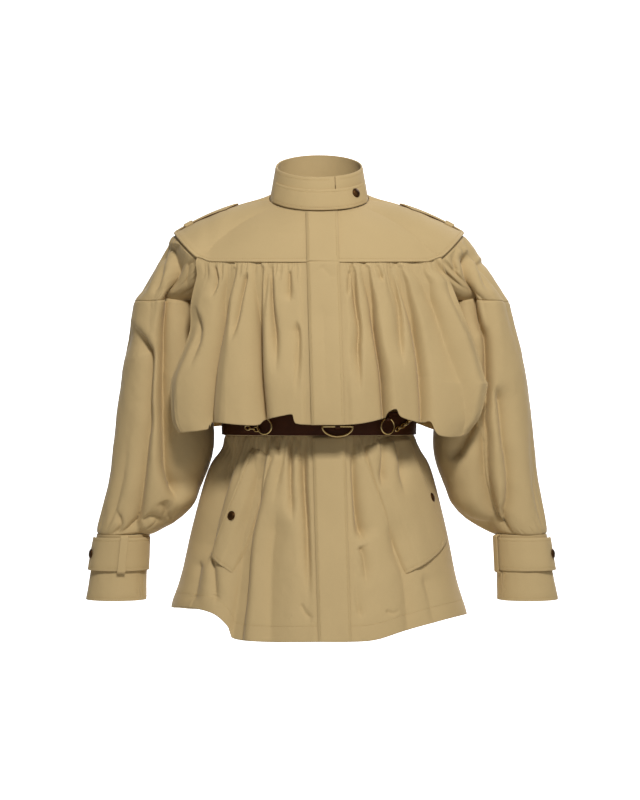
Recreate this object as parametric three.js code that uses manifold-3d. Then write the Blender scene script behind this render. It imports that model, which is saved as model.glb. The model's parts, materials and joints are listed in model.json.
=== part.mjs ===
// A short belted coat with a yoke, a gathered cape flounce, puffed sleeves and a gathered peplum, as it hangs.
// Millimetres, +Z up. The front faces -Y and the wearer's left is +X.
// The origin is the middle of the neck opening, on the axis of the hanger's hook.
import * as THREE from "three";
import { mergeVertices } from "three/addons/utils/BufferGeometryUtils.js";
import Module from "manifold-3d";

const wasm = await Module();
wasm.setup();

// ---------- driving dimensions ----------
// Heights are measured down from the origin unless a name says otherwise.
const NECK = { halfWidth: 72, halfDepth: 66, tilt: 0.38 };
const COLLAR = { topHalfWidth: 63, topHalfDepth: 60, topShift: 6, topRise: 45.5, topTilt: 0.5, slitX: 26 };
const COLLAR_TAB = { width: 31, startDeg: 204, endDeg: 337, snapDeg: 323, rise: 6 };
const YOKE = { cornerX: 172, cornerDepth: 80, cornerDrop: 90, tipX: 209, tipDrop: 51, crown: 9, neckCrown: 4.5 };
const YOKE_FRONT = { depth: 118, drop: 93 };
const YOKE_BACK = { depth: 108, drop: 98 };
const ARMHOLE = { inset: 16, depth: 50 };
const BODICE = { frontBust: 122, backBust: 102, bustShare: 0.4, frontWaist: 101, backWaist: 92, sideWaist: 140 };
const WAIST = { drop: 341, bandHeight: 35 };
const FLOUNCE = { sideX: 211, sideDepth: 86, sideDrop: 336, frontDepth: 152, frontDrop: 316,
  backDepth: 138, backDrop: 322, hemRound: 0.35 };
const PEPLUM = { sideX: 214, sideDrop: 590, frontDepth: 165, frontDrop: 625, backDepth: 150, backDrop: 606 };
const PLACKET = { width: 46, centreX: 3, slant: 0.03 };
const FLY_BUTTON = { radius: 7.5, thick: 1.6 };
const SNAP = { capRadius: 6.5, capHeight: 2.4, studRadius: 4, studHeight: 1.4 };
const EPAULETTE = { width: 38, thick: 2.6, neckX: 114, endX: 204, point: 16, keeperX: 183 };
const KEEPER = { width: 9, thick: 1.6, foot: 3 };
const BELT = { width: 33, thick: 3 };
const O_RING = { radius: 11, wire: 1.3, drop: 316 };
const D_RING = { halfWidth: 21.5, depth: 14, wire: 1.7, drop: 327 };
const RING_X = { right: -71, centre: 24, left: 90 };
const CARRIER = { length: 6, wall: 1.6, play: 0.8 };
const CHAIN = { wire: 1.6, endX: 128, endDrop: 311, sagShare: 0.35, shortRun: 9, shortRise: 2, linkDrop: 15.4 };
// A pocket's places are shares: a runs along its mouth and b from the mouth to the sewn edge of its welt.
const POCKET = { mouthTop: [0.536, 0.166], mouthFoot: [0.649, 0.62], weltAcross: 0.22, weltTilt: 0.03,
  weltEnd: 0.98, snapA: 0.52, snapB: 0.16, depth: 15 };
const POCKET_SLIT = { a: [0.06, 0.94], b: [0.3, 0.6] };
const POCKET_BAG = { a: [0.02, 1.3], b: [0.1, 1.5], wallA: 0.03, wallB: 0.04 };
const LOOP = { halfWidth: 30, bulge: 9, rise: 8, height: 7, thick: 1.8 };
// Each ring of a sleeve: how far down it is, its edge near the body, its outer edge and half its depth.
const SLEEVE_RINGS = [
  [148, 178, 268, 62],
  [217, 166, 281, 66],
  [300, 155, 293, 68],
  [371, 155, 303, 66],
  [414, 171, 309, 60],
  [445, 186, 315, 52],
  [468, 214, 319, 44],
  [484, 247, 322, 36],
];
const SLEEVE_CENTRE_Y = 5;
const SLEEVE_LEAN = { left: 13, right: 0 };
const SLEEVE_LEAN_SPAN = 620;
const CUFF = { length: 95, footShift: 10, footHalfWidth: 43.5, footHalfDepth: 37, slitDeg: 214 };
const STRAP = { width: 48, below: 4, startDeg: 184, endDeg: 354, snapDeg: 338 };
const STRAP_KEEPER_DEG = { left: 206, right: 262 };
const UNDERLAP = { width: 34, top: 0.01, foot: 0.985 };

const CLOTH = 2.6; // two plies of cloth and their seam
const PLY = 1.1; // one ply
const SEAM_GAP = 0.4; // between pieces that are sewn edge to edge
const LAYER_GAP = 0.7; // between pieces that lie one on the other
const SIDE_SEAM = 0.0016; // share of a panel left open at a side seam
const FRONT = -1;
const BACK = 1;
const SIDES = { left: 1, right: -1 };
const QUARTER_TURN = 90; // degrees; it is the back of a collar or a cuff, and -90 is its front
const FULL_TURN = 360;

// ---------- colours ----------
const TWILL = new THREE.MeshStandardMaterial({ color: 0xc4b080, roughness: 0.85, metalness: 0 });
const LINING = new THREE.MeshStandardMaterial({ color: 0x8a7a55, roughness: 0.9, metalness: 0 });
const LEATHER = new THREE.MeshStandardMaterial({ color: 0x3a2015, roughness: 0.55, metalness: 0 });
const BRASS = new THREE.MeshStandardMaterial({ color: 0xc9a766, roughness: 0.3, metalness: 1 });
const DARK_SNAP = new THREE.MeshStandardMaterial({ color: 0x5a4128, roughness: 0.45, metalness: 0.6 });
const HORN = new THREE.MeshStandardMaterial({ color: 0x4a3524, roughness: 0.4, metalness: 0 });

// ---------- small mathematics ----------
const mix = (a, b, t) => a + (b - a) * t;
const clamp01 = (t) => Math.min(1, Math.max(0, t));
const ease = (t) => clamp01(t) ** 2 * (3 - 2 * clamp01(t));
const quarter = (t) => Math.sin((t * Math.PI) / 2);
const radians = THREE.MathUtils.degToRad;
const vector = (x, y, z) => new THREE.Vector3(x, y, z);
const mixPoints = (a, b, t) => a.clone().lerp(b, t);

// The way cloth thickens outwards: level from the body's axis, tipping upwards over the shoulders.
const AXIS_TOP = -150;
function outwards(point) {
  return point.clone().sub(vector(0, 0, Math.min(point.z, AXIS_TOP))).normalize();
}
const offset = (point, by) => point.clone().addScaledVector(outwards(point), by);

// ---------- closed solids ----------
// Reverses a geometry whose faces point inwards.
function facingOut(geometry) {
  const at = geometry.getAttribute("position");
  const index = geometry.getIndex().array;
  const [a, b, c] = [vector(), vector(), vector()];
  let volume = 0;
  for (let i = 0; i < index.length; i += 3) {
    a.fromBufferAttribute(at, index[i]);
    b.fromBufferAttribute(at, index[i + 1]);
    c.fromBufferAttribute(at, index[i + 2]);
    volume += a.dot(b.cross(c));
  }
  if (volume < 0) geometry.setIndex([...index].reverse());
  return geometry;
}

// A closed solid between an outer and an inner lattice of points. When it wraps, its last column joins its first.
function skin(columns, rows, outerPoint, innerPoint, wraps = false) {
  const across = wraps ? columns : columns + 1;
  const positions = [];
  for (const pointAt of [outerPoint, innerPoint])
    for (let j = 0; j <= rows; j++)
      for (let i = 0; i < across; i++) positions.push(...pointAt(i / columns, j / rows).toArray());
  const layer = across * (rows + 1);
  const at = (side, i, j) => side * layer + j * across + (i % across);
  const index = [];
  const quad = (a, b, c, d) => index.push(a, b, c, a, c, d);
  for (let j = 0; j < rows; j++)
    for (let i = 0; i < columns; i++) {
      quad(at(0, i, j), at(0, i, j + 1), at(0, i + 1, j + 1), at(0, i + 1, j));
      quad(at(1, i, j), at(1, i + 1, j), at(1, i + 1, j + 1), at(1, i, j + 1));
    }
  for (let i = 0; i < columns; i++) {
    quad(at(0, i, 0), at(0, i + 1, 0), at(1, i + 1, 0), at(1, i, 0));
    quad(at(0, i, rows), at(1, i, rows), at(1, i + 1, rows), at(0, i + 1, rows));
  }
  for (let j = 0; j < rows && !wraps; j++) {
    quad(at(0, 0, j), at(1, 0, j), at(1, 0, j + 1), at(0, 0, j + 1));
    quad(at(0, columns, j), at(0, columns, j + 1), at(1, columns, j + 1), at(1, columns, j));
  }
  const geometry = new THREE.BufferGeometry();
  geometry.setAttribute("position", new THREE.Float32BufferAttribute(positions, 3));
  geometry.setIndex(index);
  return facingOut(geometry);
}

// A skin between two offsets from one surface; from and to may change along the surface.
function layer(columns, rows, surface, from, to) {
  const at = (by) => (typeof by === "function" ? by : () => by);
  return skin(
    columns,
    rows,
    (s, t) => offset(surface(s, t), at(to)(s, t)),
    (s, t) => offset(surface(s, t), at(from)(s, t)),
  );
}

const toSolid = (geometry) => {
  const bare = geometry.clone();
  for (const name of ["normal", "uv"]) bare.deleteAttribute(name);
  const merged = mergeVertices(bare, 1e-4);
  return new wasm.Manifold(
    new wasm.Mesh({
      numProp: 3,
      vertProperties: new Float32Array(merged.getAttribute("position").array),
      triVerts: new Uint32Array(merged.getIndex().array),
    }),
  );
};

function toGeometry(solid) {
  const made = solid.getMesh();
  const geometry = new THREE.BufferGeometry();
  geometry.setAttribute("position", new THREE.Float32BufferAttribute(made.vertProperties, made.numProp));
  geometry.setIndex(new THREE.Uint32BufferAttribute(made.triVerts, 1));
  return geometry;
}

const cut = (geometry, ...cutters) =>
  toGeometry(cutters.reduce((solid, cutter) => solid.subtract(toSolid(cutter)), toSolid(geometry)));

// ---------- the coat's surfaces ----------
// One row of a panel, from its centre line to its side: round 0 is a flat front that turns late, 1 is an ellipse.
const LATE_TURN = 2.2;
function row(centre, side, round, s) {
  const turn = mix(s ** LATE_TURN, 1 - quarter(1 - s), round);
  return vector(side.x * mix(s, quarter(s), round), mix(centre.y, side.y, turn), mix(centre.z, side.z, s * s));
}
// The share between from and to at which a rising function reaches a value.
const HALVINGS = 40;
function shareWhere(rising, value, from = 0, to = 1) {
  for (let i = 0; i < HALVINGS; i++) {
    const middle = (from + to) / 2;
    if (rising(middle) < value) from = middle;
    else to = middle;
  }
  return from;
}
// The share of a row at which it is x away from the centre line, which may be negative.
const shareAt = (x, side, round) =>
  Math.sign(x) * shareWhere((s) => side.x * mix(s, quarter(s), round), Math.abs(x));

const yokeOf = (face) => (face === FRONT ? YOKE_FRONT : YOKE_BACK);

function neckPoint(face, s) {
  const y = face * NECK.halfDepth * quarter(1 - s);
  return vector(NECK.halfWidth * quarter(s), y, NECK.tilt * y);
}

const SEAM_CORNER = 0.62; // where the yoke's seam turns from the flounce to the sleeve
function yokeCorner(face) {
  return vector(YOKE.cornerX, face * YOKE.cornerDepth, -YOKE.cornerDrop);
}
function yokeCentre(face) {
  return vector(0, face * yokeOf(face).depth, -yokeOf(face).drop);
}
// The yoke's seam over the end of the shoulder, t running from its corner to its tip.
const SHOULDER_RISE = 1.2;
function shoulderSeam(face, t) {
  return vector(
    mix(YOKE.cornerX, YOKE.tipX, quarter(t)),
    face * YOKE.cornerDepth * quarter(1 - t),
    -mix(YOKE.cornerDrop, YOKE.tipDrop, quarter(t) ** SHOULDER_RISE),
  );
}
function yokeSeam(face, s) {
  if (s <= SEAM_CORNER) return row(yokeCentre(face), yokeCorner(face), 0, s / SEAM_CORNER);
  return shoulderSeam(face, (s - SEAM_CORNER) / (1 - SEAM_CORNER));
}
function yokePoint(face, s, t) {
  const point = mixPoints(neckPoint(face, s), yokeSeam(face, s), t);
  const crown = mix(YOKE.neckCrown, YOKE.crown, s) * Math.sin(Math.PI * t);
  return point.addScaledVector(outwards(point), crown);
}

const UNDERARM = 0.26; // where a bodice's side edge turns from the armhole to the side seam
function armholePoint(face, t) {
  return vector(
    YOKE.cornerX - ARMHOLE.inset * quarter(t),
    face * YOKE.cornerDepth * quarter(1 - t),
    -YOKE.cornerDrop - ARMHOLE.depth * quarter(t),
  );
}
const BODICE_FOOT = WAIST.drop - WAIST.bandHeight;
function bodiceRow(face, t) {
  const [bust, waist] =
    face === FRONT ? [BODICE.frontBust, BODICE.frontWaist] : [BODICE.backBust, BODICE.backWaist];
  const yoke = yokeOf(face);
  const { bustShare } = BODICE;
  const depth =
    t < bustShare
      ? mix(yoke.depth, bust, ease(t / bustShare))
      : mix(bust, waist, ease((t - bustShare) / (1 - bustShare)));
  const centre = vector(0, face * depth, -mix(yoke.drop, BODICE_FOOT, t));
  const top = armholePoint(face, 1);
  const foot = vector(BODICE.sideWaist, 0, -BODICE_FOOT);
  const side =
    t < UNDERARM ? armholePoint(face, t / UNDERARM) : mixPoints(top, foot, (t - UNDERARM) / (1 - UNDERARM));
  return { centre, side, round: ease(t / UNDERARM) };
}

function flounceRow(face, t) {
  const [depth, drop] =
    face === FRONT ? [FLOUNCE.frontDepth, FLOUNCE.frontDrop] : [FLOUNCE.backDepth, FLOUNCE.backDrop];
  const corner = yokeCorner(face);
  const top = yokeCentre(face);
  return {
    centre: vector(0, mix(top.y, face * depth, quarter(t)), mix(top.z, -drop, t)),
    side: vector(
      mix(corner.x, FLOUNCE.sideX, quarter(t)),
      mix(corner.y, face * FLOUNCE.sideDepth, t),
      mix(corner.z, -FLOUNCE.sideDrop, t),
    ),
    round: FLOUNCE.hemRound * t,
  };
}

function waistRow(face, t) {
  const depth = face === FRONT ? BODICE.frontWaist : BODICE.backWaist;
  const z = -mix(BODICE_FOOT, WAIST.drop, t);
  return { centre: vector(0, face * depth, z), side: vector(BODICE.sideWaist, 0, z), round: 1 };
}

function peplumRow(face, t) {
  const [waist, depth, drop] =
    face === FRONT
      ? [BODICE.frontWaist, PEPLUM.frontDepth, PEPLUM.frontDrop]
      : [BODICE.backWaist, PEPLUM.backDepth, PEPLUM.backDrop];
  return {
    centre: vector(0, face * mix(waist, depth, t), -mix(WAIST.drop, drop, t)),
    side: vector(mix(BODICE.sideWaist, PEPLUM.sideX, t), 0, -mix(WAIST.drop, PEPLUM.sideDrop, t)),
    round: 1,
  };
}

const mirrored = (point, side) => vector(point.x * side, point.y, point.z);
// Reads a surface of one half of the coat on the given side; a negative share lies beyond the centre line.
const onSide = (side, s, surface) => mirrored(surface(Math.abs(s)), s < 0 ? -side : side);

// A point of a panel whose row t is given by rowAt, on one side of the coat.
function panelPoint(rowAt, face, side, s, t) {
  const { centre, side: edge, round } = rowAt(face, t);
  return onSide(side, s, (share) => row(centre, edge, round, share));
}
// A point of a front panel, x away from the coat's centre line.
function frontPoint(rowAt, x, t) {
  const { side, round } = rowAt(FRONT, t);
  return panelPoint(rowAt, FRONT, 1, shareAt(x, side, round), t);
}
// A point of the front yoke, x away from the coat's centre line.
function yokeFrontPoint(x, t) {
  const s = shareWhere((share) => yokePoint(FRONT, share, t).x, Math.abs(x), 0, SEAM_CORNER);
  return onSide(1, Math.sign(x) * s, (share) => yokePoint(FRONT, share, t));
}
// The closure leans a little to the wearer's left on its way down.
const placketX = (z, across) => PLACKET.centreX - PLACKET.slant * z + PLACKET.width * (across - 0.5);

// ---------- pieces ----------
const coat = new THREE.Group();
function piece(name, geometry, material) {
  const mesh = new THREE.Mesh(geometry, material);
  mesh.name = name;
  coat.add(mesh);
  return mesh;
}

// A front panel runs from the middle of the placket, where the two fronts meet, to its side edge.
function frontPanel(columns, rows, rowAt, side, from, to, last = 1 - SIDE_SEAM) {
  const surface = (s, t) => {
    const { side: edge, round, centre } = rowAt(FRONT, t);
    const meeting = side * placketX(centre.z, 0.5) + SEAM_GAP;
    return panelPoint(rowAt, FRONT, side, mix(shareAt(meeting, edge, round), last, s), t);
  };
  return layer(columns, rows, surface, from, to);
}
function backPanel(columns, rows, rowAt, from, to, last = 1 - SIDE_SEAM) {
  const surface = (s, t) => panelPoint(rowAt, BACK, 1, (s * 2 - 1) * last, t);
  return layer(columns, rows, surface, from, to);
}
// Leaves a seam's gap at the top and foot of a panel that is about long from top to foot.
const trimmed = (rowAt, long) => (face, t) => rowAt(face, mix(SEAM_GAP / long, 1 - SEAM_GAP / long, t));
const eachSide = (make) => Object.entries(SIDES).forEach(([name, side]) => make(name, side));

// The point of a surface at (s, t) and the direction in which the surface faces.
function faceAt(surface, s, t) {
  const step = 0.01;
  const point = surface(s, t);
  const across = surface(s + step, t).sub(point);
  const down = surface(s, t + step).sub(point);
  const normal = across.cross(down).normalize();
  return { point, normal: normal.dot(outwards(point)) < 0 ? normal.negate() : normal };
}
// Stands a fitting that is made on +Z on a surface, a layer's gap off it.
function seat(name, { point, normal }, geometry, material) {
  const mesh = piece(name, geometry, material);
  mesh.position.copy(point).addScaledVector(normal, LAYER_GAP);
  mesh.quaternion.setFromUnitVectors(vector(0, 0, 1), normal);
  return mesh;
}

// A turned solid on the Z axis, from a profile of radius and height.
function turned(profile, segments = 16) {
  const points = profile.map(([radius, height]) => new THREE.Vector2(radius, height));
  const bare = new THREE.LatheGeometry(points, segments).rotateX(Math.PI / 2);
  for (const name of ["normal", "uv"]) bare.deleteAttribute(name);
  const merged = mergeVertices(bare, 1e-4);
  const index = merged.getIndex().array;
  const kept = [];
  for (let i = 0; i < index.length; i += 3) {
    const [a, b, c] = index.slice(i, i + 3);
    if (a !== b && b !== c && a !== c) kept.push(a, b, c);
  }
  merged.setIndex(kept);
  return facingOut(merged);
}
const snapCap = () => {
  const { capRadius: r, capHeight: h } = SNAP;
  return turned([[0, 0], [r, 0], [r, h * 0.45], [r * 0.82, h * 0.85], [r * 0.5, h], [0, h]]);
};
const snapStud = () => {
  const { studRadius: r, studHeight: h } = SNAP;
  return turned([[0, 0], [r, 0], [r, h * 0.5], [r * 0.6, h], [0, h]]);
};
// How much a strap lifts off the cloth to hold a snap, from none to all between two shares of its length.
const STUD_ROOM = SNAP.studHeight + LAYER_GAP;
const SNAP_LIFT = { from: 0.6, to: 0.8 };
const snapLift = (share) => STUD_ROOM * ease((share - SNAP_LIFT.from) / (SNAP_LIFT.to - SNAP_LIFT.from));

// Yoke: two fronts and a back, sewn along the shoulders.
const SHOULDER_SEAM = 0.0015;
eachSide((name, side) => {
  const surface = (s, t) => {
    const meeting = side * PLACKET.centreX + SEAM_GAP;
    const first = shareWhere((share) => yokePoint(FRONT, share, t).x, Math.abs(meeting), 0, SEAM_CORNER);
    const share = mix(Math.sign(meeting) * first, 1 - SHOULDER_SEAM, s);
    return onSide(side, share, (at) => yokePoint(FRONT, at, t));
  };
  piece(`yoke_front_${name}`, layer(14, 4, surface, 0, CLOTH), TWILL);
});
const yokeBack = (s, t) =>
  onSide(1, (s * 2 - 1) * (1 - SHOULDER_SEAM), (share) => yokePoint(BACK, share, t));
piece("yoke_back", layer(24, 4, yokeBack, 0, CLOTH), TWILL);

// Bodice: the fitted inner body under the flounce.
const bodice = trimmed(bodiceRow, BODICE_FOOT - YOKE_FRONT.drop);
eachSide((name, side) => piece(`bodice_front_${name}`, frontPanel(10, 5, bodice, side, 0, PLY), LINING));
piece("bodice_back", backPanel(16, 5, bodice, 0, PLY), LINING);

// Flounce: the cape over it, open at the sides, sewn into the yoke's seam over the bodice.
const flounce = trimmed(flounceRow, FLOUNCE.frontDrop - YOKE_FRONT.drop);
const FLOUNCE_FROM = PLY + SEAM_GAP;
eachSide((name, side) =>
  piece(`flounce_front_${name}`, frontPanel(10, 5, flounce, side, FLOUNCE_FROM, CLOTH, 1), TWILL),
);
piece("flounce_back", backPanel(16, 5, flounce, FLOUNCE_FROM, CLOTH, 1), TWILL);

// Waistband and belt. A point round the whole waist, s running once round from the front.
const waistband = trimmed(waistRow, WAIST.bandHeight);
function waistPoint(s, t, rowAt = waistband) {
  const quarters = s * 4;
  const face = quarters < 1 || quarters > 3 ? FRONT : BACK;
  const share = Math.abs(2 - Math.abs(2 - quarters)) % 2;
  return panelPoint(rowAt, face, quarters <= 2 ? 1 : -1, share > 1 ? 2 - share : share, t);
}
function band(columns, rowAt, from, to) {
  const at = (by) => (s, t) => offset(waistPoint(s, t, rowAt), by);
  return skin(columns, 1, at(to), at(from), true);
}
piece("waistband", band(32, waistband, 0, CLOTH), TWILL);
const BELT_MARGIN = (WAIST.bandHeight - BELT.width) / 2 / WAIST.bandHeight;
const beltRow = (face, t) => waistRow(face, mix(BELT_MARGIN, 1 - BELT_MARGIN, t));
const BELT_FROM = CLOTH + LAYER_GAP;
const BELT_FACE = BELT_FROM + BELT.thick;
piece("belt", band(40, beltRow, BELT_FROM, BELT_FACE), LEATHER);

// Peplum with two slanted pockets.
function pocketPoint(side, a, b) {
  const s = mix(POCKET.mouthTop[0], POCKET.mouthFoot[0], a) - POCKET.weltAcross * b;
  const t = mix(POCKET.mouthTop[1], POCKET.mouthFoot[1], a) + POCKET.weltTilt * b;
  return panelPoint(peplumRow, FRONT, side, s, t);
}
const patch = (side, [a0, a1], [b0, b1], from, to, columns = 5, rows = 4) =>
  layer(columns, rows, (s, t) => pocketPoint(side, mix(a0, a1, t), mix(b0, b1, s)), from, to);
const pocketSlit = (side) => patch(side, POCKET_SLIT.a, POCKET_SLIT.b, -3 * CLOTH, 2 * CLOTH, 2, 6);
const inset = ([start, end], wall) => [start + wall, end - wall];

const peplum = trimmed(peplumRow, PEPLUM.sideDrop - WAIST.drop);
const WELT_FROM = CLOTH + LAYER_GAP;
eachSide((name, side) => {
  piece(`peplum_front_${name}`, cut(frontPanel(12, 5, peplum, side, 0, CLOTH), pocketSlit(side)), TWILL);
  const lift = (s) => snapLift(1 - s);
  const welt = patch(
    side,
    [0, 1],
    [0, POCKET.weltEnd],
    (s) => WELT_FROM + lift(s),
    (s) => WELT_FROM + CLOTH + lift(s),
    8,
    3,
  );
  piece(`pocket_welt_${name}`, welt, TWILL);
  const { a, b, wallA, wallB } = POCKET_BAG;
  const bag = patch(side, a, b, -POCKET.depth - PLY, -LAYER_GAP);
  const room = patch(side, inset(a, wallA), inset(b, wallB), -POCKET.depth, -LAYER_GAP - PLY);
  piece(`pocket_bag_${name}`, cut(bag, room, pocketSlit(side)), LINING);
  const surface = (by) => (s, t) => offset(pocketPoint(side, t, s), by);
  seat(
    `pocket_snap_cap_${name}`,
    faceAt(surface(WELT_FROM + STUD_ROOM + CLOTH), POCKET.snapB, POCKET.snapA),
    snapCap(),
    DARK_SNAP,
  );
  seat(`pocket_snap_stud_${name}`, faceAt(surface(CLOTH), POCKET.snapB, POCKET.snapA), snapStud(), DARK_SNAP);
});
piece("peplum_back", backPanel(20, 5, peplum, 0, CLOTH), TWILL);

// Fly front: an underlap behind the meeting edges, buttons on them, and the placket that covers the buttons.
const PLACKET_FROM = CLOTH + LAYER_GAP;
const BUTTON_ROOM = FLY_BUTTON.thick + LAYER_GAP;
const BUTTON_ACROSS = 0.3;
const PLACKET_EDGE = 0.1; // share of its width in which the placket rises over the buttons
const PLACKET_ZONES = {
  yoke: { pointAt: yokeFrontPoint, top: 0.04, foot: 0.98, rows: 4, buttons: [] },
  chest: {
    pointAt: (x, t) => frontPoint(flounce, x, t),
    top: 0.02,
    foot: 0.985,
    rows: 5,
    buttons: [0.5],
  },
  peplum: {
    pointAt: (x, t) => frontPoint(peplum, x, t),
    top: 0.02,
    foot: 0.99,
    rows: 5,
    buttons: [0.25, 0.7],
  },
};
for (const [name, zone] of Object.entries(PLACKET_ZONES)) {
  const surface = (s, t) => {
    const down = mix(zone.top, zone.foot, t);
    return zone.pointAt(placketX(zone.pointAt(0, down).z, s), down);
  };
  const lift = (s) => BUTTON_ROOM * ease(Math.min(s, 1 - s) / PLACKET_EDGE);
  const strip = layer(
    8,
    zone.rows,
    surface,
    (s) => PLACKET_FROM + lift(s),
    (s) => PLACKET_FROM + lift(s) + PLY,
  );
  piece(`placket_${name}`, strip, TWILL);
  const onFront = (s, t) => offset(surface(s, t), CLOTH);
  zone.buttons.forEach((t, i) => {
    const { radius, thick } = FLY_BUTTON;
    const button = turned([[0, 0], [radius, 0], [radius, thick], [0, thick]]);
    seat(`fly_button_${name}_${i + 1}`, faceAt(onFront, BUTTON_ACROSS, t), button, HORN);
  });
}
const UNDERLAP_HALF = UNDERLAP.width / 2 / PLACKET.width;
const underlapPoint = (s, t) => {
  const x = placketX(bodice(FRONT, t).centre.z, mix(0.5 - UNDERLAP_HALF, 0.5 + UNDERLAP_HALF, s));
  return frontPoint(bodice, x, mix(UNDERLAP.top, UNDERLAP.foot, t));
};
piece("fly_underlap", layer(3, 5, underlapPoint, -LAYER_GAP - PLY, -LAYER_GAP), LINING);

// Collar: a stand that is open at the front, with a tab that snaps across the opening.
function collarPoint(degrees, t, by) {
  const [cos, sin] = [Math.cos(radians(degrees)), Math.sin(radians(degrees))];
  const footY = (NECK.halfDepth - SEAM_GAP + by) * sin;
  const topY = COLLAR.topShift + (COLLAR.topHalfDepth + by) * sin;
  const foot = vector((NECK.halfWidth - SEAM_GAP + by) * cos, footY, NECK.tilt * footY);
  const top = vector((COLLAR.topHalfWidth + by) * cos, topY, COLLAR.topRise + COLLAR.topTilt * topY);
  return mixPoints(foot, top, t);
}
const COLLAR_SLIT_DEG = FULL_TURN - THREE.MathUtils.radToDeg(Math.acos(COLLAR.slitX / NECK.halfWidth));
const SLIT_HALF_DEG = 0.4;
const collarSkin = (columns, rows, [start, end], [low, high], from, to) => {
  const at = (by) => (s, t) =>
    collarPoint(mix(start, end, s), mix(low, high, t), typeof by === "function" ? by(s) : by);
  return skin(columns, rows, at(to), at(from));
};
const collarSpan = [COLLAR_SLIT_DEG + SLIT_HALF_DEG, COLLAR_SLIT_DEG + FULL_TURN - SLIT_HALF_DEG];
piece("collar_stand", collarSkin(36, 2, collarSpan, [0, 1], -CLOTH, 0), TWILL);

const COLLAR_HEIGHT = collarPoint(-QUARTER_TURN, 0, 0).distanceTo(collarPoint(-QUARTER_TURN, 1, 0));
const tabSpan = [COLLAR_TAB.startDeg, COLLAR_TAB.endDeg];
const tabRise = [COLLAR_TAB.rise / COLLAR_HEIGHT, (COLLAR_TAB.rise + COLLAR_TAB.width) / COLLAR_HEIGHT];
const tabSnapShare = (COLLAR_TAB.snapDeg - tabSpan[0]) / (tabSpan[1] - tabSpan[0]);
const tabLift = (s) => LAYER_GAP + snapLift(s);
piece(
  "collar_tab",
  collarSkin(18, 2, tabSpan, tabRise, tabLift, (s) => tabLift(s) + CLOTH),
  TWILL,
);
const tabSurface = (by) => (s, t) => collarPoint(mix(...tabSpan, s), mix(...tabRise, t), by);
seat(
  "collar_snap_cap",
  faceAt(tabSurface(LAYER_GAP + STUD_ROOM + CLOTH), tabSnapShare, 0.5),
  snapCap(),
  DARK_SNAP,
);
seat("collar_snap_stud", faceAt(tabSurface(0), tabSnapShare, 0.5), snapStud(), DARK_SNAP);

// Hanger loop: a short tape, sewn at both ends inside the back of the collar.
const LOOP_HALF_DEG = THREE.MathUtils.radToDeg(LOOP.halfWidth / NECK.halfDepth);
const loopSag = (s) => -CLOTH - SEAM_GAP - LOOP.bulge * Math.sin(Math.PI * s) ** 2;
piece(
  "hanger_loop",
  collarSkin(
    12,
    1,
    [QUARTER_TURN - LOOP_HALF_DEG, QUARTER_TURN + LOOP_HALF_DEG],
    [LOOP.rise / COLLAR_HEIGHT, (LOOP.rise + LOOP.height) / COLLAR_HEIGHT],
    (s) => loopSag(s) - LOOP.thick,
    loopSag,
  ),
  TWILL,
);

// Epaulettes: a pointed strap on each shoulder, sewn at the sleeve's end, under a keeper, snapped near the neck.
const SEARCH_ROUNDS = 4;
const SHOULDER_FROM = 0.3; // share of the yoke beyond which its depth only falls
function shoulderPoint(side, x, y, by) {
  const face = y < 0 ? FRONT : BACK;
  const depthAt = (s, t) => Math.abs(yokePoint(face, s, t).y);
  let t = 0.5;
  let s = 1;
  for (let i = 0; i < SEARCH_ROUNDS; i++) {
    t = shareWhere((down) => yokePoint(face, s, down).x, x);
    s = shareWhere((share) => -depthAt(share, t), -Math.abs(y), SHOULDER_FROM);
  }
  return mirrored(offset(yokePoint(face, s, t), by), side);
}
// A skin on the shoulder: half is its half-width at a share of its length from the sleeve's end.
function shoulderSkin(side, columns, rows, [start, end], half, from, to) {
  const at = (by, share) => shoulderPoint(side, ...share, by);
  const place = (s, t) => [mix(start, end, s), (t * 2 - 1) * half(s)];
  return skin(columns, rows, (s, t) => at(to, place(s, t)), (s, t) => at(from, place(s, t)));
}
// A band that crosses a strap: its feet stand on the cloth and its middle passes over the strap.
function bridge(halfWidth, low, high) {
  const reach = [halfWidth + KEEPER.foot, halfWidth + 2 * SEAM_GAP, halfWidth + SEAM_GAP, 0];
  const heights = [low, low, high, high];
  const across = [...reach.map((r) => -r), ...reach.slice(0, 3).reverse()];
  const by = [...heights, ...heights.slice(0, 3).reverse()];
  const rows = across.length - 1;
  return {
    rows,
    inner: (t) => [across[Math.round(t * rows)], by[Math.round(t * rows)]],
    outer: (t) => {
      const i = Math.round(t * rows);
      return [across[i] + Math.sign(across[i]) * KEEPER.thick, by[i] + KEEPER.thick];
    },
  };
}
const EPAULETTE_FROM = CLOTH + LAYER_GAP;
eachSide((name, side) => {
  const half = EPAULETTE.width / 2;
  const long = EPAULETTE.endX - EPAULETTE.neckX;
  const pointed = (s) => Math.max(half * Math.min(1, ((1 - s) * long) / EPAULETTE.point), 1);
  piece(
    `epaulette_${name}`,
    shoulderSkin(
      side,
      12,
      4,
      [EPAULETTE.endX, EPAULETTE.neckX],
      pointed,
      EPAULETTE_FROM,
      EPAULETTE_FROM + EPAULETTE.thick,
    ),
    TWILL,
  );
  const top = EPAULETTE_FROM + EPAULETTE.thick;
  const arch = bridge(half, CLOTH + SEAM_GAP, top + LAYER_GAP);
  const keeperX = (s) => EPAULETTE.keeperX + KEEPER.width * (0.5 - s);
  const keeper = skin(
    2,
    arch.rows,
    (s, t) => shoulderPoint(side, keeperX(s), ...arch.outer(t)),
    (s, t) => shoulderPoint(side, keeperX(s), ...arch.inner(t)),
  );
  piece(`epaulette_keeper_${name}`, keeper, TWILL);
});

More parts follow.
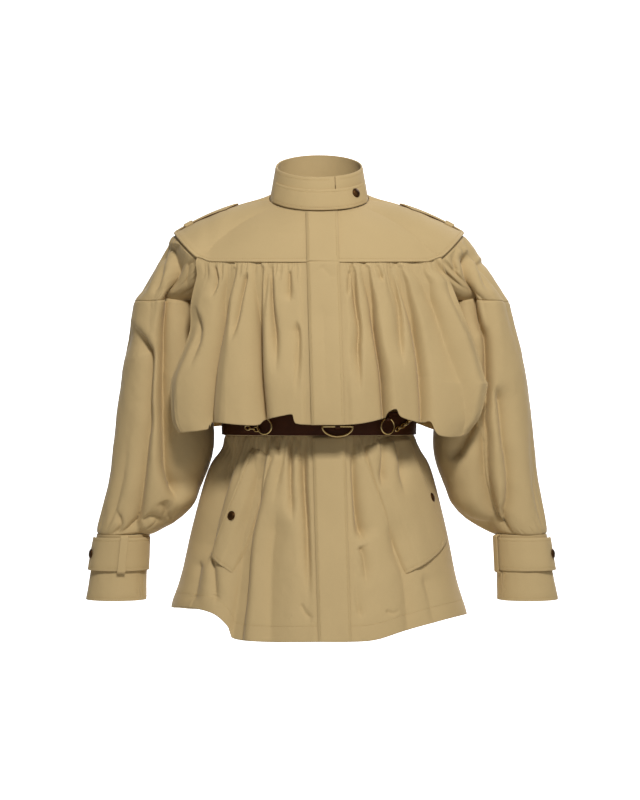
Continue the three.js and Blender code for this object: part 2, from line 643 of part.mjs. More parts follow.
// Sleeves. A point of a level ring; 0 degrees is its outer edge, -90 its front.
const ringPoint = ({ x, z, halfWidth, halfDepth }, degrees, by) =>
  vector(
    x + (halfWidth + by) * Math.cos(radians(degrees)),
    SLEEVE_CENTRE_Y + (halfDepth + by) * Math.sin(radians(degrees)),
    z,
  );
const leanAt = (name, drop) => SLEEVE_LEAN[name] * Math.sin((Math.PI * drop) / SLEEVE_LEAN_SPAN);
function sleeveRing(name, index) {
  const [drop, inner, outer, halfDepth] = SLEEVE_RINGS[index];
  return {
    x: (inner + outer) / 2 + leanAt(name, drop),
    z: -drop,
    halfWidth: (outer - inner) / 2,
    halfDepth,
  };
}
// The sleeve's head follows the yoke's shoulder seam above and the bodice's armhole below.
const ARMHOLE_GAP = PLY + SEAM_GAP;
const HEAD_CENTRE = vector((YOKE.tipX + YOKE.cornerX - ARMHOLE.inset) / 2, 0, -YOKE.cornerDrop);
function headPoint(degrees, by) {
  const face = degrees < 0 ? FRONT : BACK;
  const turn = Math.abs(degrees) / QUARTER_TURN;
  const seam = turn < 1 ? shoulderSeam(face, 1 - turn) : armholePoint(face, turn - 1);
  const point = seam.add(vector(ARMHOLE_GAP, 0, -SEAM_GAP));
  return point.addScaledVector(point.clone().sub(HEAD_CENTRE).normalize(), by);
}
const lastRing = SLEEVE_RINGS.length - 1;
eachSide((name, side) => {
  const angle = (s) => mix(-180, 180, s);
  const capPoint = (by) => (s, t) => {
    const ring = sleeveRing(name, 0);
    return mirrored(mixPoints(headPoint(angle(s), by), ringPoint(ring, angle(s), by), t), side);
  };
  piece(`sleeve_cap_${name}`, skin(24, 2, capPoint(0), capPoint(-PLY), true), TWILL);

  const sleevePoint = (by) => (s, t) => {
    const index = Math.round(t * lastRing);
    const point = ringPoint(sleeveRing(name, index), angle(s), by);
    if (index === 0) point.z -= SEAM_GAP;
    return mirrored(point, side);
  };
  piece(`sleeve_${name}`, skin(24, lastRing, sleevePoint(0), sleevePoint(-PLY), true), TWILL);

  const top = sleeveRing(name, lastRing);
  const cuffRing = (t) => ({
    x: mix(top.x, top.x + CUFF.footShift, t),
    z: top.z - CUFF.length * t,
    halfWidth: mix(top.halfWidth, CUFF.footHalfWidth, t),
    halfDepth: mix(top.halfDepth, CUFF.footHalfDepth, t),
  });
  const cuffPoint = (degrees, t, by) => mirrored(ringPoint(cuffRing(t), degrees, by), side);
  const cuffSkin = (columns, rows, [start, end], [high, low], from, to) => {
    const at = (by) => (s, t) =>
      cuffPoint(mix(start, end, s), mix(high, low, t), typeof by === "function" ? by(s) : by);
    return skin(columns, rows, at(to), at(from));
  };
  const slit = [CUFF.slitDeg + SLIT_HALF_DEG, CUFF.slitDeg + FULL_TURN - SLIT_HALF_DEG];
  piece(`cuff_${name}`, cuffSkin(28, 1, slit, [SEAM_GAP / CUFF.length, 1], -CLOTH, 0), TWILL);

  const span = [STRAP.startDeg, STRAP.endDeg];
  const rise = [STRAP.below / CUFF.length, (STRAP.below + STRAP.width) / CUFF.length];
  const lift = (s) => LAYER_GAP + snapLift(s);
  piece(
    `cuff_strap_${name}`,
    cuffSkin(18, 1, span, rise, lift, (s) => lift(s) + CLOTH),
    TWILL,
  );
  const snapShare = (STRAP.snapDeg - span[0]) / (span[1] - span[0]);
  const surface = (by) => (s, t) => cuffPoint(mix(...span, s), mix(...rise, t), by);
  const facing = (by) => {
    const face = faceAt(surface(by), snapShare, 0.5);
    const away = cuffPoint(STRAP.snapDeg, mix(...rise, 0.5), by + 1).sub(face.point);
    return away.dot(face.normal) < 0 ? { ...face, normal: face.normal.negate() } : face;
  };
  seat(`cuff_snap_cap_${name}`, facing(LAYER_GAP + STUD_ROOM + CLOTH), snapCap(), DARK_SNAP);
  seat(`cuff_snap_stud_${name}`, facing(0), snapStud(), DARK_SNAP);

  const keeperHalf = THREE.MathUtils.radToDeg(KEEPER.width / 2 / CUFF.footHalfWidth);
  const middle = STRAP.below + STRAP.width / 2;
  const arch = bridge(STRAP.width / 2, SEAM_GAP, LAYER_GAP + CLOTH + SEAM_GAP);
  const keeperAt = (place) => (s, t) => {
    const [down, by] = place(t);
    return cuffPoint(STRAP_KEEPER_DEG[name] + keeperHalf * (s * 2 - 1), (middle + down) / CUFF.length, by);
  };
  piece(`cuff_keeper_${name}`, skin(3, arch.rows, keeperAt(arch.outer), keeperAt(arch.inner)), TWILL);
});

// Rings that hang on the belt, each through a short carrier, and two ends of chain.
// A closed wire along a flat closed path in the XZ plane.
function closedWire(pathAt, radius, steps, sides = 6) {
  const positions = [];
  for (let i = 0; i < steps; i++) {
    const at = pathAt(i / steps);
    const along = pathAt((i + 0.5) / steps).sub(pathAt((i - 0.5 + steps) / steps)).normalize();
    const across = vector(along.z, 0, -along.x);
    for (let j = 0; j < sides; j++) {
      const turn = (j * 2 * Math.PI) / sides;
      const point = at.clone().addScaledVector(across, radius * Math.cos(turn));
      positions.push(point.x, radius * Math.sin(turn), point.z);
    }
  }
  const at = (i, j) => (i % steps) * sides + (j % sides);
  const index = [];
  for (let i = 0; i < steps; i++)
    for (let j = 0; j < sides; j++)
      index.push(at(i, j), at(i + 1, j), at(i + 1, j + 1), at(i, j), at(i + 1, j + 1), at(i, j + 1));
  const geometry = new THREE.BufferGeometry();
  geometry.setAttribute("position", new THREE.Float32BufferAttribute(positions, 3));
  geometry.setIndex(index);
  return facingOut(geometry);
}
// Paths that hang below their top, which is at the origin.
function circlePath(u) {
  const turn = 2 * Math.PI * u;
  return vector(O_RING.radius * Math.sin(turn), 0, O_RING.radius * (Math.cos(turn) - 1));
}
const BAR_SHARE = 0.4;
function deePath(u) {
  const share = u % 1;
  const { halfWidth, depth } = D_RING;
  if (share < BAR_SHARE) return vector(mix(-halfWidth, halfWidth, share / BAR_SHARE), 0, 0);
  const turn = (Math.PI * (share - BAR_SHARE)) / (1 - BAR_SHARE);
  return vector(halfWidth * Math.cos(turn), 0, -depth * Math.sin(turn));
}
// Where x and a drop meet the face of the belt, and which way it faces.
function beltFace(x, drop, by = BELT_FACE) {
  const t = (drop - BODICE_FOOT) / WAIST.bandHeight;
  const surface = (s, down) => offset(frontPoint(waistRow, x + s, down), by);
  const { point, normal } = faceAt(surface, 0, t);
  return { point, normal: normal.setZ(0).normalize() };
}
function hangRing(name, x, { wire, drop }, geometry) {
  const bore = wire + CARRIER.play;
  const out = SEAM_GAP + bore + CARRIER.wall;
  const { point, normal } = beltFace(x, drop);
  const group = new THREE.Group();
  group.position.copy(point).addScaledVector(normal, out);
  group.rotation.z = Math.atan2(normal.x, -normal.y);
  coat.add(group);
  const half = CARRIER.length / 2;
  const wall = bore + CARRIER.wall;
  const carrier = turned([[bore, -half], [wall, -half], [wall, half], [bore, half], [bore, -half]]);
  group.add(piece(`ring_carrier_${name}`, carrier.rotateY(Math.PI / 2), LEATHER));
  group.add(piece(`ring_${name}`, geometry, BRASS));
}
hangRing("right", RING_X.right, O_RING, closedWire(circlePath, O_RING.wire, 20));
hangRing("centre", RING_X.centre, D_RING, closedWire(deePath, D_RING.wire, 24));
hangRing("left", RING_X.left, O_RING, closedWire(circlePath, O_RING.wire, 20));

function chain(name, places) {
  const points = places.map(([x, drop]) => beltFace(x, drop, BELT_FACE + SEAM_GAP + CHAIN.wire).point);
  const path = new THREE.CatmullRomCurve3(points);
  const section = new THREE.Shape().absarc(0, 0, CHAIN.wire, 0, 2 * Math.PI);
  const steps = { steps: 4 * places.length, curveSegments: 4, extrudePath: path, bevelEnabled: false };
  piece(name, new THREE.ExtrudeGeometry(section, steps), BRASS);
}
const RING_EDGE = O_RING.radius + O_RING.wire + CHAIN.wire + SEAM_GAP;
const CHAIN_DROP = O_RING.drop + CHAIN.linkDrop;
chain("chain_left", [
  [RING_X.left + RING_EDGE, CHAIN_DROP],
  [mix(RING_X.left + RING_EDGE, CHAIN.endX, 0.5), mix(CHAIN_DROP, CHAIN.endDrop, CHAIN.sagShare)],
  [CHAIN.endX, CHAIN.endDrop],
]);
chain("chain_right", [
  [RING_X.right - RING_EDGE, CHAIN_DROP],
  [RING_X.right - RING_EDGE - CHAIN.shortRun, CHAIN_DROP - CHAIN.shortRise],
]);

export default coat;
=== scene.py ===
"""A short belted cotton coat: stand collar, cape flounce, puffed sleeves, cuff straps, belt rings and peplum."""
import json
import math

import bmesh
import bpy
import numpy as np
from mathutils import Matrix, Vector


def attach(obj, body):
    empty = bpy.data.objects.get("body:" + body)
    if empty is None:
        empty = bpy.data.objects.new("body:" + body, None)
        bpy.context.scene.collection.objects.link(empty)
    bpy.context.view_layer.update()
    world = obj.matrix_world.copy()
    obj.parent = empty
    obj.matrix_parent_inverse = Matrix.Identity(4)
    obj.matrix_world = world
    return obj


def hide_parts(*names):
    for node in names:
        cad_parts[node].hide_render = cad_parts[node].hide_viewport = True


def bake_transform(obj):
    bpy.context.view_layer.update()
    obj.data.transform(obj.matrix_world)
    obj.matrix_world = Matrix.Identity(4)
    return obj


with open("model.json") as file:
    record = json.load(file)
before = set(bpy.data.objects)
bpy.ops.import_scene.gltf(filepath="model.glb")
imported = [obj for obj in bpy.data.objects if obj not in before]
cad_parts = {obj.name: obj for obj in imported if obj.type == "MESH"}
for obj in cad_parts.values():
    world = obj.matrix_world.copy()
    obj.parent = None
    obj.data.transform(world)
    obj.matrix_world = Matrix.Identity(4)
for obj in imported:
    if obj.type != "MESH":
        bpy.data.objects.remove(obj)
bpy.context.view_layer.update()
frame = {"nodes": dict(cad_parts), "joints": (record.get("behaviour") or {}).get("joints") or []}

# ---------- sizes, in millimetres, as the coat is cut ----------
# Pairs at a seam or hem are depth from the body's axis and drop below the origin; _DEG values go round from the
# wearer's left over the back; _SHARE values are fractions of a piece's length.
MM = 0.001
FRONT, BACK = -1, 1
SIDES = {"left": 1, "right": -1}
NECK_WIDE, NECK_DEEP, NECK_TILT = 72.0, 66.0, 0.38
COLLAR_WIDE, COLLAR_DEEP, COLLAR_SHIFT, COLLAR_RISE, COLLAR_TILT = 63.0, 60.0, 6.0, 45.5, 0.5
COLLAR_SLIT_DEG = 291.2
TAB_DEG, TAB_RISE, TAB_WIDE = (204.0, 337.0), 6.0, 31.0
YOKE_CORNER, YOKE_TIP, YOKE_CROWN = (172.0, 80.0, 90.0), (209.0, 51.0), (4.5, 9.0)
YOKE_DEPTH = {FRONT: (118.0, 93.0), BACK: (108.0, 98.0)}
SEAM_CORNER = 0.62
ARMHOLE_INSET, ARMHOLE_DEPTH, UNDERARM = 16.0, 50.0, 0.26
BODICE_BUST, BODICE_WAIST, BUST_SHARE = {FRONT: 122.0, BACK: 102.0}, {FRONT: 101.0, BACK: 92.0}, 0.4
WAIST_SIDE, WAIST_DROP, BAND_HIGH = 135.0, 341.0, 35.0
BODICE_FOOT = WAIST_DROP - BAND_HIGH
FLOUNCE_HEM, FLOUNCE_SIDE = {FRONT: (152.0, 316.0), BACK: (138.0, 322.0)}, (211.0, 86.0, 336.0)
HEM_ROUND = 0.35
PEPLUM_HEM, PEPLUM_SIDE = {FRONT: (165.0, 625.0), BACK: (150.0, 606.0)}, (214.0, 590.0)
PLACKET_WIDE, PLACKET_MIDDLE, PLACKET_SLANT = 46.0, 3.0, 0.03
POCKET_TOP, POCKET_FOOT, WELT_ACROSS, WELT_TILT = (0.536, 0.166), (0.649, 0.62), 0.22, 0.03
# Each ring of the sleeve: its drop below the origin, its inner and outer reach, and half its depth.
SLEEVE_RINGS = np.array(
    [[148, 178, 268, 62], [217, 166, 281, 66], [300, 155, 293, 68], [371, 155, 303, 66],
     [414, 171, 309, 60], [445, 186, 315, 52], [468, 214, 319, 44], [484, 247, 322, 36]],
    float,
)
SLEEVE_CENTRE_Y, SLEEVE_LEAN, LEAN_SPAN = 5.0, {"left": 13.0, "right": 0.0}, 620.0
CUFF_LONG, CUFF_SHIFT, CUFF_WIDE, CUFF_DEEP, CUFF_SLIT_DEG = 95.0, 10.0, 43.5, 37.0, 214.0
STRAP_WIDE, STRAP_BELOW, STRAP_DEG = 48.0, 4.0, (184.0, 354.0)
STRAP_KEEPER_DEG = {"left": 206.0, "right": 262.0}
CLOTH, PLY, LAYER_GAP = 2.6, 1.1, 0.7
STUD_ROOM, STRAP_THICK, BELT_THICK, CHAIN_GAP = 1.4 + LAYER_GAP, 2.3, 3.0, 2.0
YOKE_STITCH, PEPLUM_TURN, SEAM_DROP = 6.0, 22.0, 6.0
HANGER_HALF, HANGER_TOP, HANGER_FOOT = 30.0, 17.0, 5.0
EPAULETTE_ENDS, EPAULETTE_HALF, EPAULETTE_POINT = (204.0, 114.0), 19.0, 16.0
EPAULETTE_KEEPER, KEEPER_HALF, KEEPER_REACH = 183.0, 5.2, 22.0
RING_HALF, RING_WIRE, DEE_WIRE, DEE_HALF, DEE_DROP = 11.0, 1.3, 1.6, 21.5, 14.0
LINK_WIDE, LINK_HIGH, LINK_WIRE, LINK_PITCH = 3.0, 4.9, 0.95, 6.4
AXIS_TOP = -150.0  # the body's axis bends over towards the neck above this height
EYE_AWAY, EYE_DROP = 3200.0, 290.0


# ---------- small mathematics ----------
def mix(a, b, t):
    return a + (b - a) * t


def quarter(t):
    return np.sin(np.asarray(t, float) * math.pi / 2)


def ease(t):
    t = np.clip(t, 0, 1)
    return t * t * (3 - 2 * t)


def points(x, y, z):
    return np.stack(np.broadcast_arrays(x, y, z), -1).astype(float)


def unit(v):
    return v / np.maximum(np.linalg.norm(v, axis=-1, keepdims=True), 1e-9)


def outwards(p):
    """The way cloth thickens: level from the body's axis, tipping upwards over the shoulders."""
    axis = p.copy()
    axis[..., 2] -= np.minimum(p[..., 2], AXIS_TOP)
    return unit(axis)


def mirrored(p, side):
    """Points of the wearer's left, moved to the given side."""
    p[..., 0] *= side
    return p


def lifted(p, by):
    """Points moved outwards from the body."""
    return p + outwards(p) * np.asarray(by, float)[..., None]


def seen(p):
    """Where points lie across and up for an eye in front of the coat, on the plane of its shoulders."""
    nearer = EYE_AWAY / (EYE_AWAY + p[..., 1])
    return p[..., 0] * nearer, -EYE_DROP + (p[..., 2] + EYE_DROP) * nearer


def noise(x, y, size, seed):
    """Smooth random values between -1 and 1, with one free value in each cell of the given size."""
    cells = 64
    table = np.random.default_rng(seed).uniform(-1, 1, (cells, cells))
    gx, gy = np.asarray(x, float) / size, np.asarray(y, float) / size
    i, j = np.floor(gx).astype(int), np.floor(gy).astype(int)
    fx, fy = ease(gx - i), ease(gy - j)
    i, j = i % cells, j % cells
    i1, j1 = (i + 1) % cells, (j + 1) % cells
    return mix(mix(table[i, j], table[i1, j], fx), mix(table[i, j1], table[i1, j1], fx), fy)


# ---------- the coat's surfaces ----------
def row(centre, side, round_, s):
    turn = mix(s**2.2, 1 - quarter(1 - s), round_)
    return points(
        side[..., 0] * mix(s, quarter(s), round_),
        mix(centre[..., 1], side[..., 1], turn),
        mix(centre[..., 2], side[..., 2], s * s),
    )


def share_where(rising, value, low, high):
    """The share at which a rising function of an array reaches a value."""
    low, high = np.broadcast_to(low, np.shape(value)) + 0.0, np.broadcast_to(high, np.shape(value)) + 0.0
    for _ in range(26):
        middle = (low + high) / 2
        below = rising(middle) < value
        low, high = np.where(below, middle, low), np.where(below, high, middle)
    return low


def neck_point(face, s):
    y = face * NECK_DEEP * quarter(1 - s)
    return points(NECK_WIDE * quarter(s), y, NECK_TILT * y)


def shoulder_seam(face, t):
    x, y, z = YOKE_CORNER
    drop = mix(z, YOKE_TIP[1], quarter(t) ** 1.2)
    return points(mix(x, YOKE_TIP[0], quarter(t)), face * y * quarter(1 - t), -drop)


def yoke_seam(face, s):
    depth, drop = YOKE_DEPTH[face]
    x, y, z = YOKE_CORNER
    flat = row(points(0, face * depth, -drop), points(x, face * y, -z), 0, np.clip(s / SEAM_CORNER, 0, 1))
    over = shoulder_seam(face, np.clip((s - SEAM_CORNER) / (1 - SEAM_CORNER), 0, 1))
    return np.where((s <= SEAM_CORNER)[..., None], flat, over)


def yoke_point(face, s, t):
    a = np.abs(s)
    p = mix(neck_point(face, a), yoke_seam(face, a), t[..., None])
    crown = mix(YOKE_CROWN[0], YOKE_CROWN[1], a) * np.sin(math.pi * t)
    return mirrored(lifted(p, crown), np.where(s < 0, -1, 1))


def armhole_point(face, t):
    x, y, z = YOKE_CORNER
    return points(x - ARMHOLE_INSET * quarter(t), face * y * quarter(1 - t), -z - ARMHOLE_DEPTH * quarter(t))


def bodice_row(face, t):
    depth0, drop0 = YOKE_DEPTH[face]
    bust, waist = BODICE_BUST[face], BODICE_WAIST[face]
    early = mix(depth0, bust, ease(t / BUST_SHARE))
    late = mix(bust, waist, ease((t - BUST_SHARE) / (1 - BUST_SHARE)))
    centre = points(0, face * np.where(t < BUST_SHARE, early, late), -mix(drop0, BODICE_FOOT, t))
    top = armhole_point(face, np.ones_like(t))
    foot = points(WAIST_SIDE, 0 * t, -BODICE_FOOT)
    seam = mix(top, foot, np.clip((t - UNDERARM) / (1 - UNDERARM), 0, 1)[..., None])
    side = np.where((t < UNDERARM)[..., None], armhole_point(face, np.clip(t / UNDERARM, 0, 1)), seam)
    return centre, side, ease(t / UNDERARM)


def flounce_row(face, t):
    depth0, drop0 = YOKE_DEPTH[face]
    depth, drop = FLOUNCE_HEM[face]
    x, y, z = YOKE_CORNER
    centre = points(0, face * mix(depth0, depth, quarter(t)), -mix(drop0, drop, t))
    side = points(
        mix(x, FLOUNCE_SIDE[0], quarter(t)),
        face * mix(y, FLOUNCE_SIDE[1], t),
        -mix(z, FLOUNCE_SIDE[2], t),
    )
    return centre, side, HEM_ROUND * t


def waist_row(face, t):
    z = -mix(BODICE_FOOT, WAIST_DROP, t)
    return points(0, face * BODICE_WAIST[face] + 0 * t, z), points(WAIST_SIDE, 0, z), np.ones_like(t)


def peplum_row(face, t):
    depth, drop = PEPLUM_HEM[face]
    centre = points(0, face * mix(BODICE_WAIST[face], depth, t), -mix(WAIST_DROP, drop, t))
    side = points(mix(WAIST_SIDE, PEPLUM_SIDE[0], t), 0, -mix(WAIST_DROP, PEPLUM_SIDE[1], t))
    return centre, side, np.ones_like(t)


def panel_point(row_at, face, s, t):
    centre, side, round_ = row_at(face, t)
    return mirrored(row(centre, side, round_, np.abs(s)), np.where(s < 0, -1, 1))


def share_at(row_at, x, t):
    """The signed share of a front row at which it is x away from the centre line."""
    _, side, round_ = row_at(FRONT, t)
    found = share_where(lambda s: side[..., 0] * mix(s, quarter(s), round_), np.abs(x) + 0 * t, 0, 1)
    return np.sign(x) * found


def placket_x(z, across):
    return PLACKET_MIDDLE - PLACKET_SLANT * z + PLACKET_WIDE * (across - 0.5)


def front_panel(row_at, side):
    """The surface of a front from the middle of the placket to its side edge."""

    def surface(u, v):
        centre = row_at(FRONT, v)[0]
        meeting = side * placket_x(centre[..., 2], 0.5)
        return panel_point(row_at, FRONT, side * mix(share_at(row_at, meeting, v), 1, u), v)

    return surface


def back_panel(row_at):
    return lambda u, v: panel_point(row_at, BACK, 1 - 2 * u, v)


def collar_lift(degrees):
    """How far the worn collar's top stands up at the throat and settles at the nape."""
    return mix(10.0, -6.0, (1 + np.sin(np.radians(degrees))) / 2)


def collar_point(degrees, t, by):
    cos, sin = np.cos(np.radians(degrees)), np.sin(np.radians(degrees))
    foot_y = (NECK_DEEP - 0.4 + by) * sin
    top_y = COLLAR_SHIFT + (COLLAR_DEEP + by) * sin
    foot = points((NECK_WIDE - 0.4 + by) * cos, foot_y, NECK_TILT * foot_y)
    top = points((COLLAR_WIDE + by) * cos, top_y, COLLAR_RISE + COLLAR_TILT * top_y)
    top[..., 2] += collar_lift(degrees)
    return mix(foot, top, np.asarray(t)[..., None])


COLLAR_HIGH = float(np.linalg.norm(np.diff(collar_point(np.array([-90, -90]), np.array([0, 1]), 0), axis=0)))


def strap_lift(u):
    """How far a strap's face stands off what it lies on: its far part has a snap beneath."""
    return LAYER_GAP + STUD_ROOM * ease((u - 0.6) / 0.2) + CLOTH


def ring_point(x, z, wide, deep, degrees):
    cos, sin = np.cos(np.radians(degrees)), np.sin(np.radians(degrees))
    return points(x + wide * cos, SLEEVE_CENTRE_Y + deep * sin, z)


def through(values, at):
    """A smooth curve through rows of numbers, the first of which rises; read at places along it."""
    known = values[:, 0]
    slopes = np.gradient(values, known, axis=0)
    k = np.clip(np.searchsorted(known, at) - 1, 0, len(known) - 2)
    step = known[k + 1] - known[k]
    f = ((at - known[k]) / step)[..., None]
    a, b, step = values[k], values[k + 1], step[..., None]
    return (
        a * (1 + 2 * f) * (1 - f) ** 2
        + b * f * f * (3 - 2 * f)
        + slopes[k] * step * f * (1 - f) ** 2
        - slopes[k + 1] * step * f * f * (1 - f)
    )


def head_point(degrees):
    turn = np.abs(degrees) / 90
    face = np.where(degrees < 0, FRONT, BACK)
    seam = np.where(
        (turn < 1)[..., None],
        shoulder_seam(face, np.clip(1 - turn, 0, 1)),
        armhole_point(face, np.clip(turn - 1, 0, 1)),
    )
    return seam + np.array([1.5, 0, -0.4])


def sleeve_point(name, degrees, drop):
    """A point of the sleeve below its head: drop is measured down from the origin."""
    ring = through(SLEEVE_RINGS, drop)
    lean = SLEEVE_LEAN[name] * np.sin(math.pi * drop / LEAN_SPAN)
    inner, outer, deep = ring[..., 1], ring[..., 2], ring[..., 3]
    return ring_point((inner + outer) / 2 + lean, -drop, (outer - inner) / 2, deep, degrees)


def cuff_point(name, degrees, t, by=0.0):
    """A point of the cuff in the frame of the wearer's left; t runs down its length."""
    drop, inner, outer, deep = SLEEVE_RINGS[-1]
    lean = SLEEVE_LEAN[name] * math.sin(math.pi * drop / LEAN_SPAN)
    x = (inner + outer) / 2 + lean
    t = np.asarray(t, float)
    return ring_point(
        mix(x, x + CUFF_SHIFT, t),
        -(drop + CUFF_LONG * t),
        mix((outer - inner) / 2, CUFF_WIDE, t) + by,
        mix(deep, CUFF_DEEP, t) + by,
        degrees,
    )


# ---------- folds ----------
def smooth_route(route, count=12):
    """Points along a smooth curve through the given ones."""
    p = np.array(route, float)
    p = np.vstack([2 * p[0] - p[1], p, 2 * p[-1] - p[-2]])
    t = np.linspace(0, 1, count, endpoint=False)[:, None]
    legs = []
    for a, b, c, d in zip(p[:-3], p[1:-2], p[2:-1], p[3:]):
        legs.append(0.5 * (2 * b + (c - a) * t + (2 * a - 5 * b + 4 * c - d) * t**2 + (3 * b - a - 3 * c + d) * t**3))
    return np.vstack([*legs, p[-2:-1]])


def valley(d, width):
    """The section of a fold line: a crisp bottom between soft banks."""
    d = np.sqrt(d * d + 0.25)
    return 0.6 * np.exp(-((d / width) ** 1.25)) + 0.4 * np.exp(-((d / (2.6 * width)) ** 1.8))


def crease(across, up, route, depth, widths, ends=(0.15, 0.35), lean=0.0, grow=0.0):
    """How far a fold line presses cloth in, and how far its bank hangs over sideways."""
    left, right = widths if isinstance(widths, tuple) else (widths, widths)
    path = smooth_route(route)
    tangent = np.gradient(path, axis=0)
    press, push = np.zeros(across.shape), np.zeros(across.shape)
    reach = 5 * max(left, right)
    low, high = path.min(0) - reach, path.max(0) + reach
    near = (across > low[0]) & (across < high[0]) & (up > low[1]) & (up < high[1])
    x, z = across[near], up[near]
    gap2 = (x[:, None] - path[:, 0]) ** 2 + (z[:, None] - path[:, 1]) ** 2
    k = gap2.argmin(1)
    turn = tangent[k, 0] * (z - path[k, 1]) - tangent[k, 1] * (x - path[k, 0])
    straight = np.abs(turn) / np.linalg.norm(tangent[k], axis=1)
    inside = (k > 0) & (k < len(path) - 1)
    d = np.where(inside, straight, np.sqrt(gap2[np.arange(len(k)), k])) * np.sign(turn)
    along = (tangent[k, 0] * (x - path[k, 0]) + tangent[k, 1] * (z - path[k, 1])) / (tangent[k] ** 2).sum(1)
    share = np.clip((k + np.clip(along, -0.6, 0.6)) / (len(path) - 1), 0, 1)
    fade = np.ones_like(d)
    if ends[0]:
        fade = fade * ease(share / ends[0])
    if ends[1]:
        fade = fade * ease((1 - share) / ends[1])
    width = np.where(d > 0, right, left) * mix(1 - 0.6 * grow, 1 + 0.3 * grow, share)
    press[near] = depth * fade * valley(d, width)
    bank = left if lean > 0 else right
    push[near] = lean * fade * np.exp(-(((d + np.sign(lean) * bank) / bank) ** 2))
    return press, push


def gathers(across, down, spread, seed, start, stop, spacing, deep, reach, long_share=0.15, long_reach=(90, 240)):
    """How far the folds from a gathered seam press cloth in. across is measured on the seam itself."""
    rand = np.random.default_rng(seed)
    total = np.zeros(across.shape)
    at = start + rand.uniform(0, spacing)
    while at < stop:
        long_one = rand.random() < long_share
        length = rand.uniform(*(long_reach if long_one else reach))
        drift = rand.uniform(-0.07, 0.07)
        sway, phase = rand.uniform(0, 2.0), rand.uniform(0, 6)
        amount = deep * rand.uniform(0.6, 1.25)
        grow = rand.uniform(0.5, 1.3) if long_one else 0.35
        d = (across - at - drift * down - sway * np.sin(down / 32 + phase)) * spread
        width = 1.5 + (0.045 if long_one else 0.03) * down
        here = (1 - np.exp(-down / 4)) * (1 - ease(down / length)) * (1 + grow * down / 50)
        total += (amount * here * valley(d, width)) ** 2
        at += spacing * rand.uniform(0.55, 1.5)
    crimps = 0.5 * (1 + np.sin(across * 1.9 + 1.3 * np.sin(across * 0.37))) * np.exp(-down / 12)
    return np.sqrt(total) + crimps * 0.9


def puff(down, height=3.0, start=7.0, fall=50.0):
    """Cloth springs out just past a gathered seam."""
    return height * (1 - np.exp(-down / start)) * np.exp(-down / fall)


def tumble(u_mm, v_mm, seed, amount=0.5):
    """The small unevenness of worn cotton."""
    return amount * (
        noise(u_mm, v_mm * 0.45, 34, seed)
        + 0.5 * noise(u_mm + 9, v_mm * 0.5, 15, seed + 1)
        + 0.22 * noise(u_mm, v_mm * 0.7, 6.5, seed + 2)
    )


# ---------- cloth pieces ----------
def arc(lattice, axis):
    """Distances along a lattice of points, from its first column or row."""
    steps = np.linalg.norm(np.diff(lattice, axis=axis), axis=-1)
    return np.concatenate([np.zeros_like(np.take(steps, [0], axis)), np.cumsum(steps, axis)], axis)


class Sheet:
    """A lattice of cloth: its rows run down and its columns run across."""

    def __init__(self, surface, columns, rows, across=(0.0, 1.0), down=(0.0, 1.0)):
        self.u, self.v = np.meshgrid(np.linspace(*across, columns + 1), np.linspace(*down, rows + 1))
        self.base = surface(self.u, self.v)
        self.at = self.base.copy()
        self.across, self.down = arc(self.base, 1), arc(self.base, 0)
        self.normal = unit(np.cross(np.gradient(self.base, axis=0), self.slope_across()))
        self.turned = bool((self.normal * self.away()).sum(-1).mean() < 0)
        if self.turned:
            self.normal = -self.normal

    def slope_across(self):
        return np.gradient(self.base, axis=1)

    def away(self):
        """Directions away from the middle of the body."""
        return outwards(self.base)

    def raised(self, by):
        """Moves the cloth outwards."""
        self.at = self.at + self.normal * np.asarray(by, float)[..., None]
        return self

    def spread(self):
        """How much wider each row is than the first."""
        wide = self.across[:, -1:]
        return wide / wide[0, 0]


class Tube(Sheet):
    """A sheet whose last column joins its first."""

    def slope_across(self):
        slope = np.gradient(self.base, axis=1)
        slope[:, 0] = slope[:, -1] = self.base[:, 1] - self.base[:, -2]
        return slope

    def away(self):
        middle = self.base.mean(1, keepdims=True)
        return unit(self.base - middle)

    def raised(self, by):
        super().raised(by)
        self.at[:, -1] = self.at[:, 0]
        return self


def new_object(name, mesh, material, slot, body):
    made = bpy.data.objects.new(name, mesh)
    bpy.context.scene.collection.objects.link(made)
    mesh.materials.append(material)
    mesh.shade_smooth()
    if body:
        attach(made, body)
    return made


def finish_mesh(bm, name):
    mesh = bpy.data.meshes.new(name)
    bm.to_mesh(mesh)
    bm.free()
    return mesh


def wall(made, thick, bevel=0.0):
    """Gives cloth its thickness, inwards from its face, and rounds its edges."""
    solid = made.modifiers.new("wall", "SOLIDIFY")
    solid.thickness = thick * MM
    solid.offset = -1
    if bevel:
        soft = made.modifiers.new("soft_edge", "BEVEL")
        soft.width = bevel * MM
        soft.segments = 2
        soft.limit_method = "ANGLE"
        soft.angle_limit = math.radians(50)
    return made


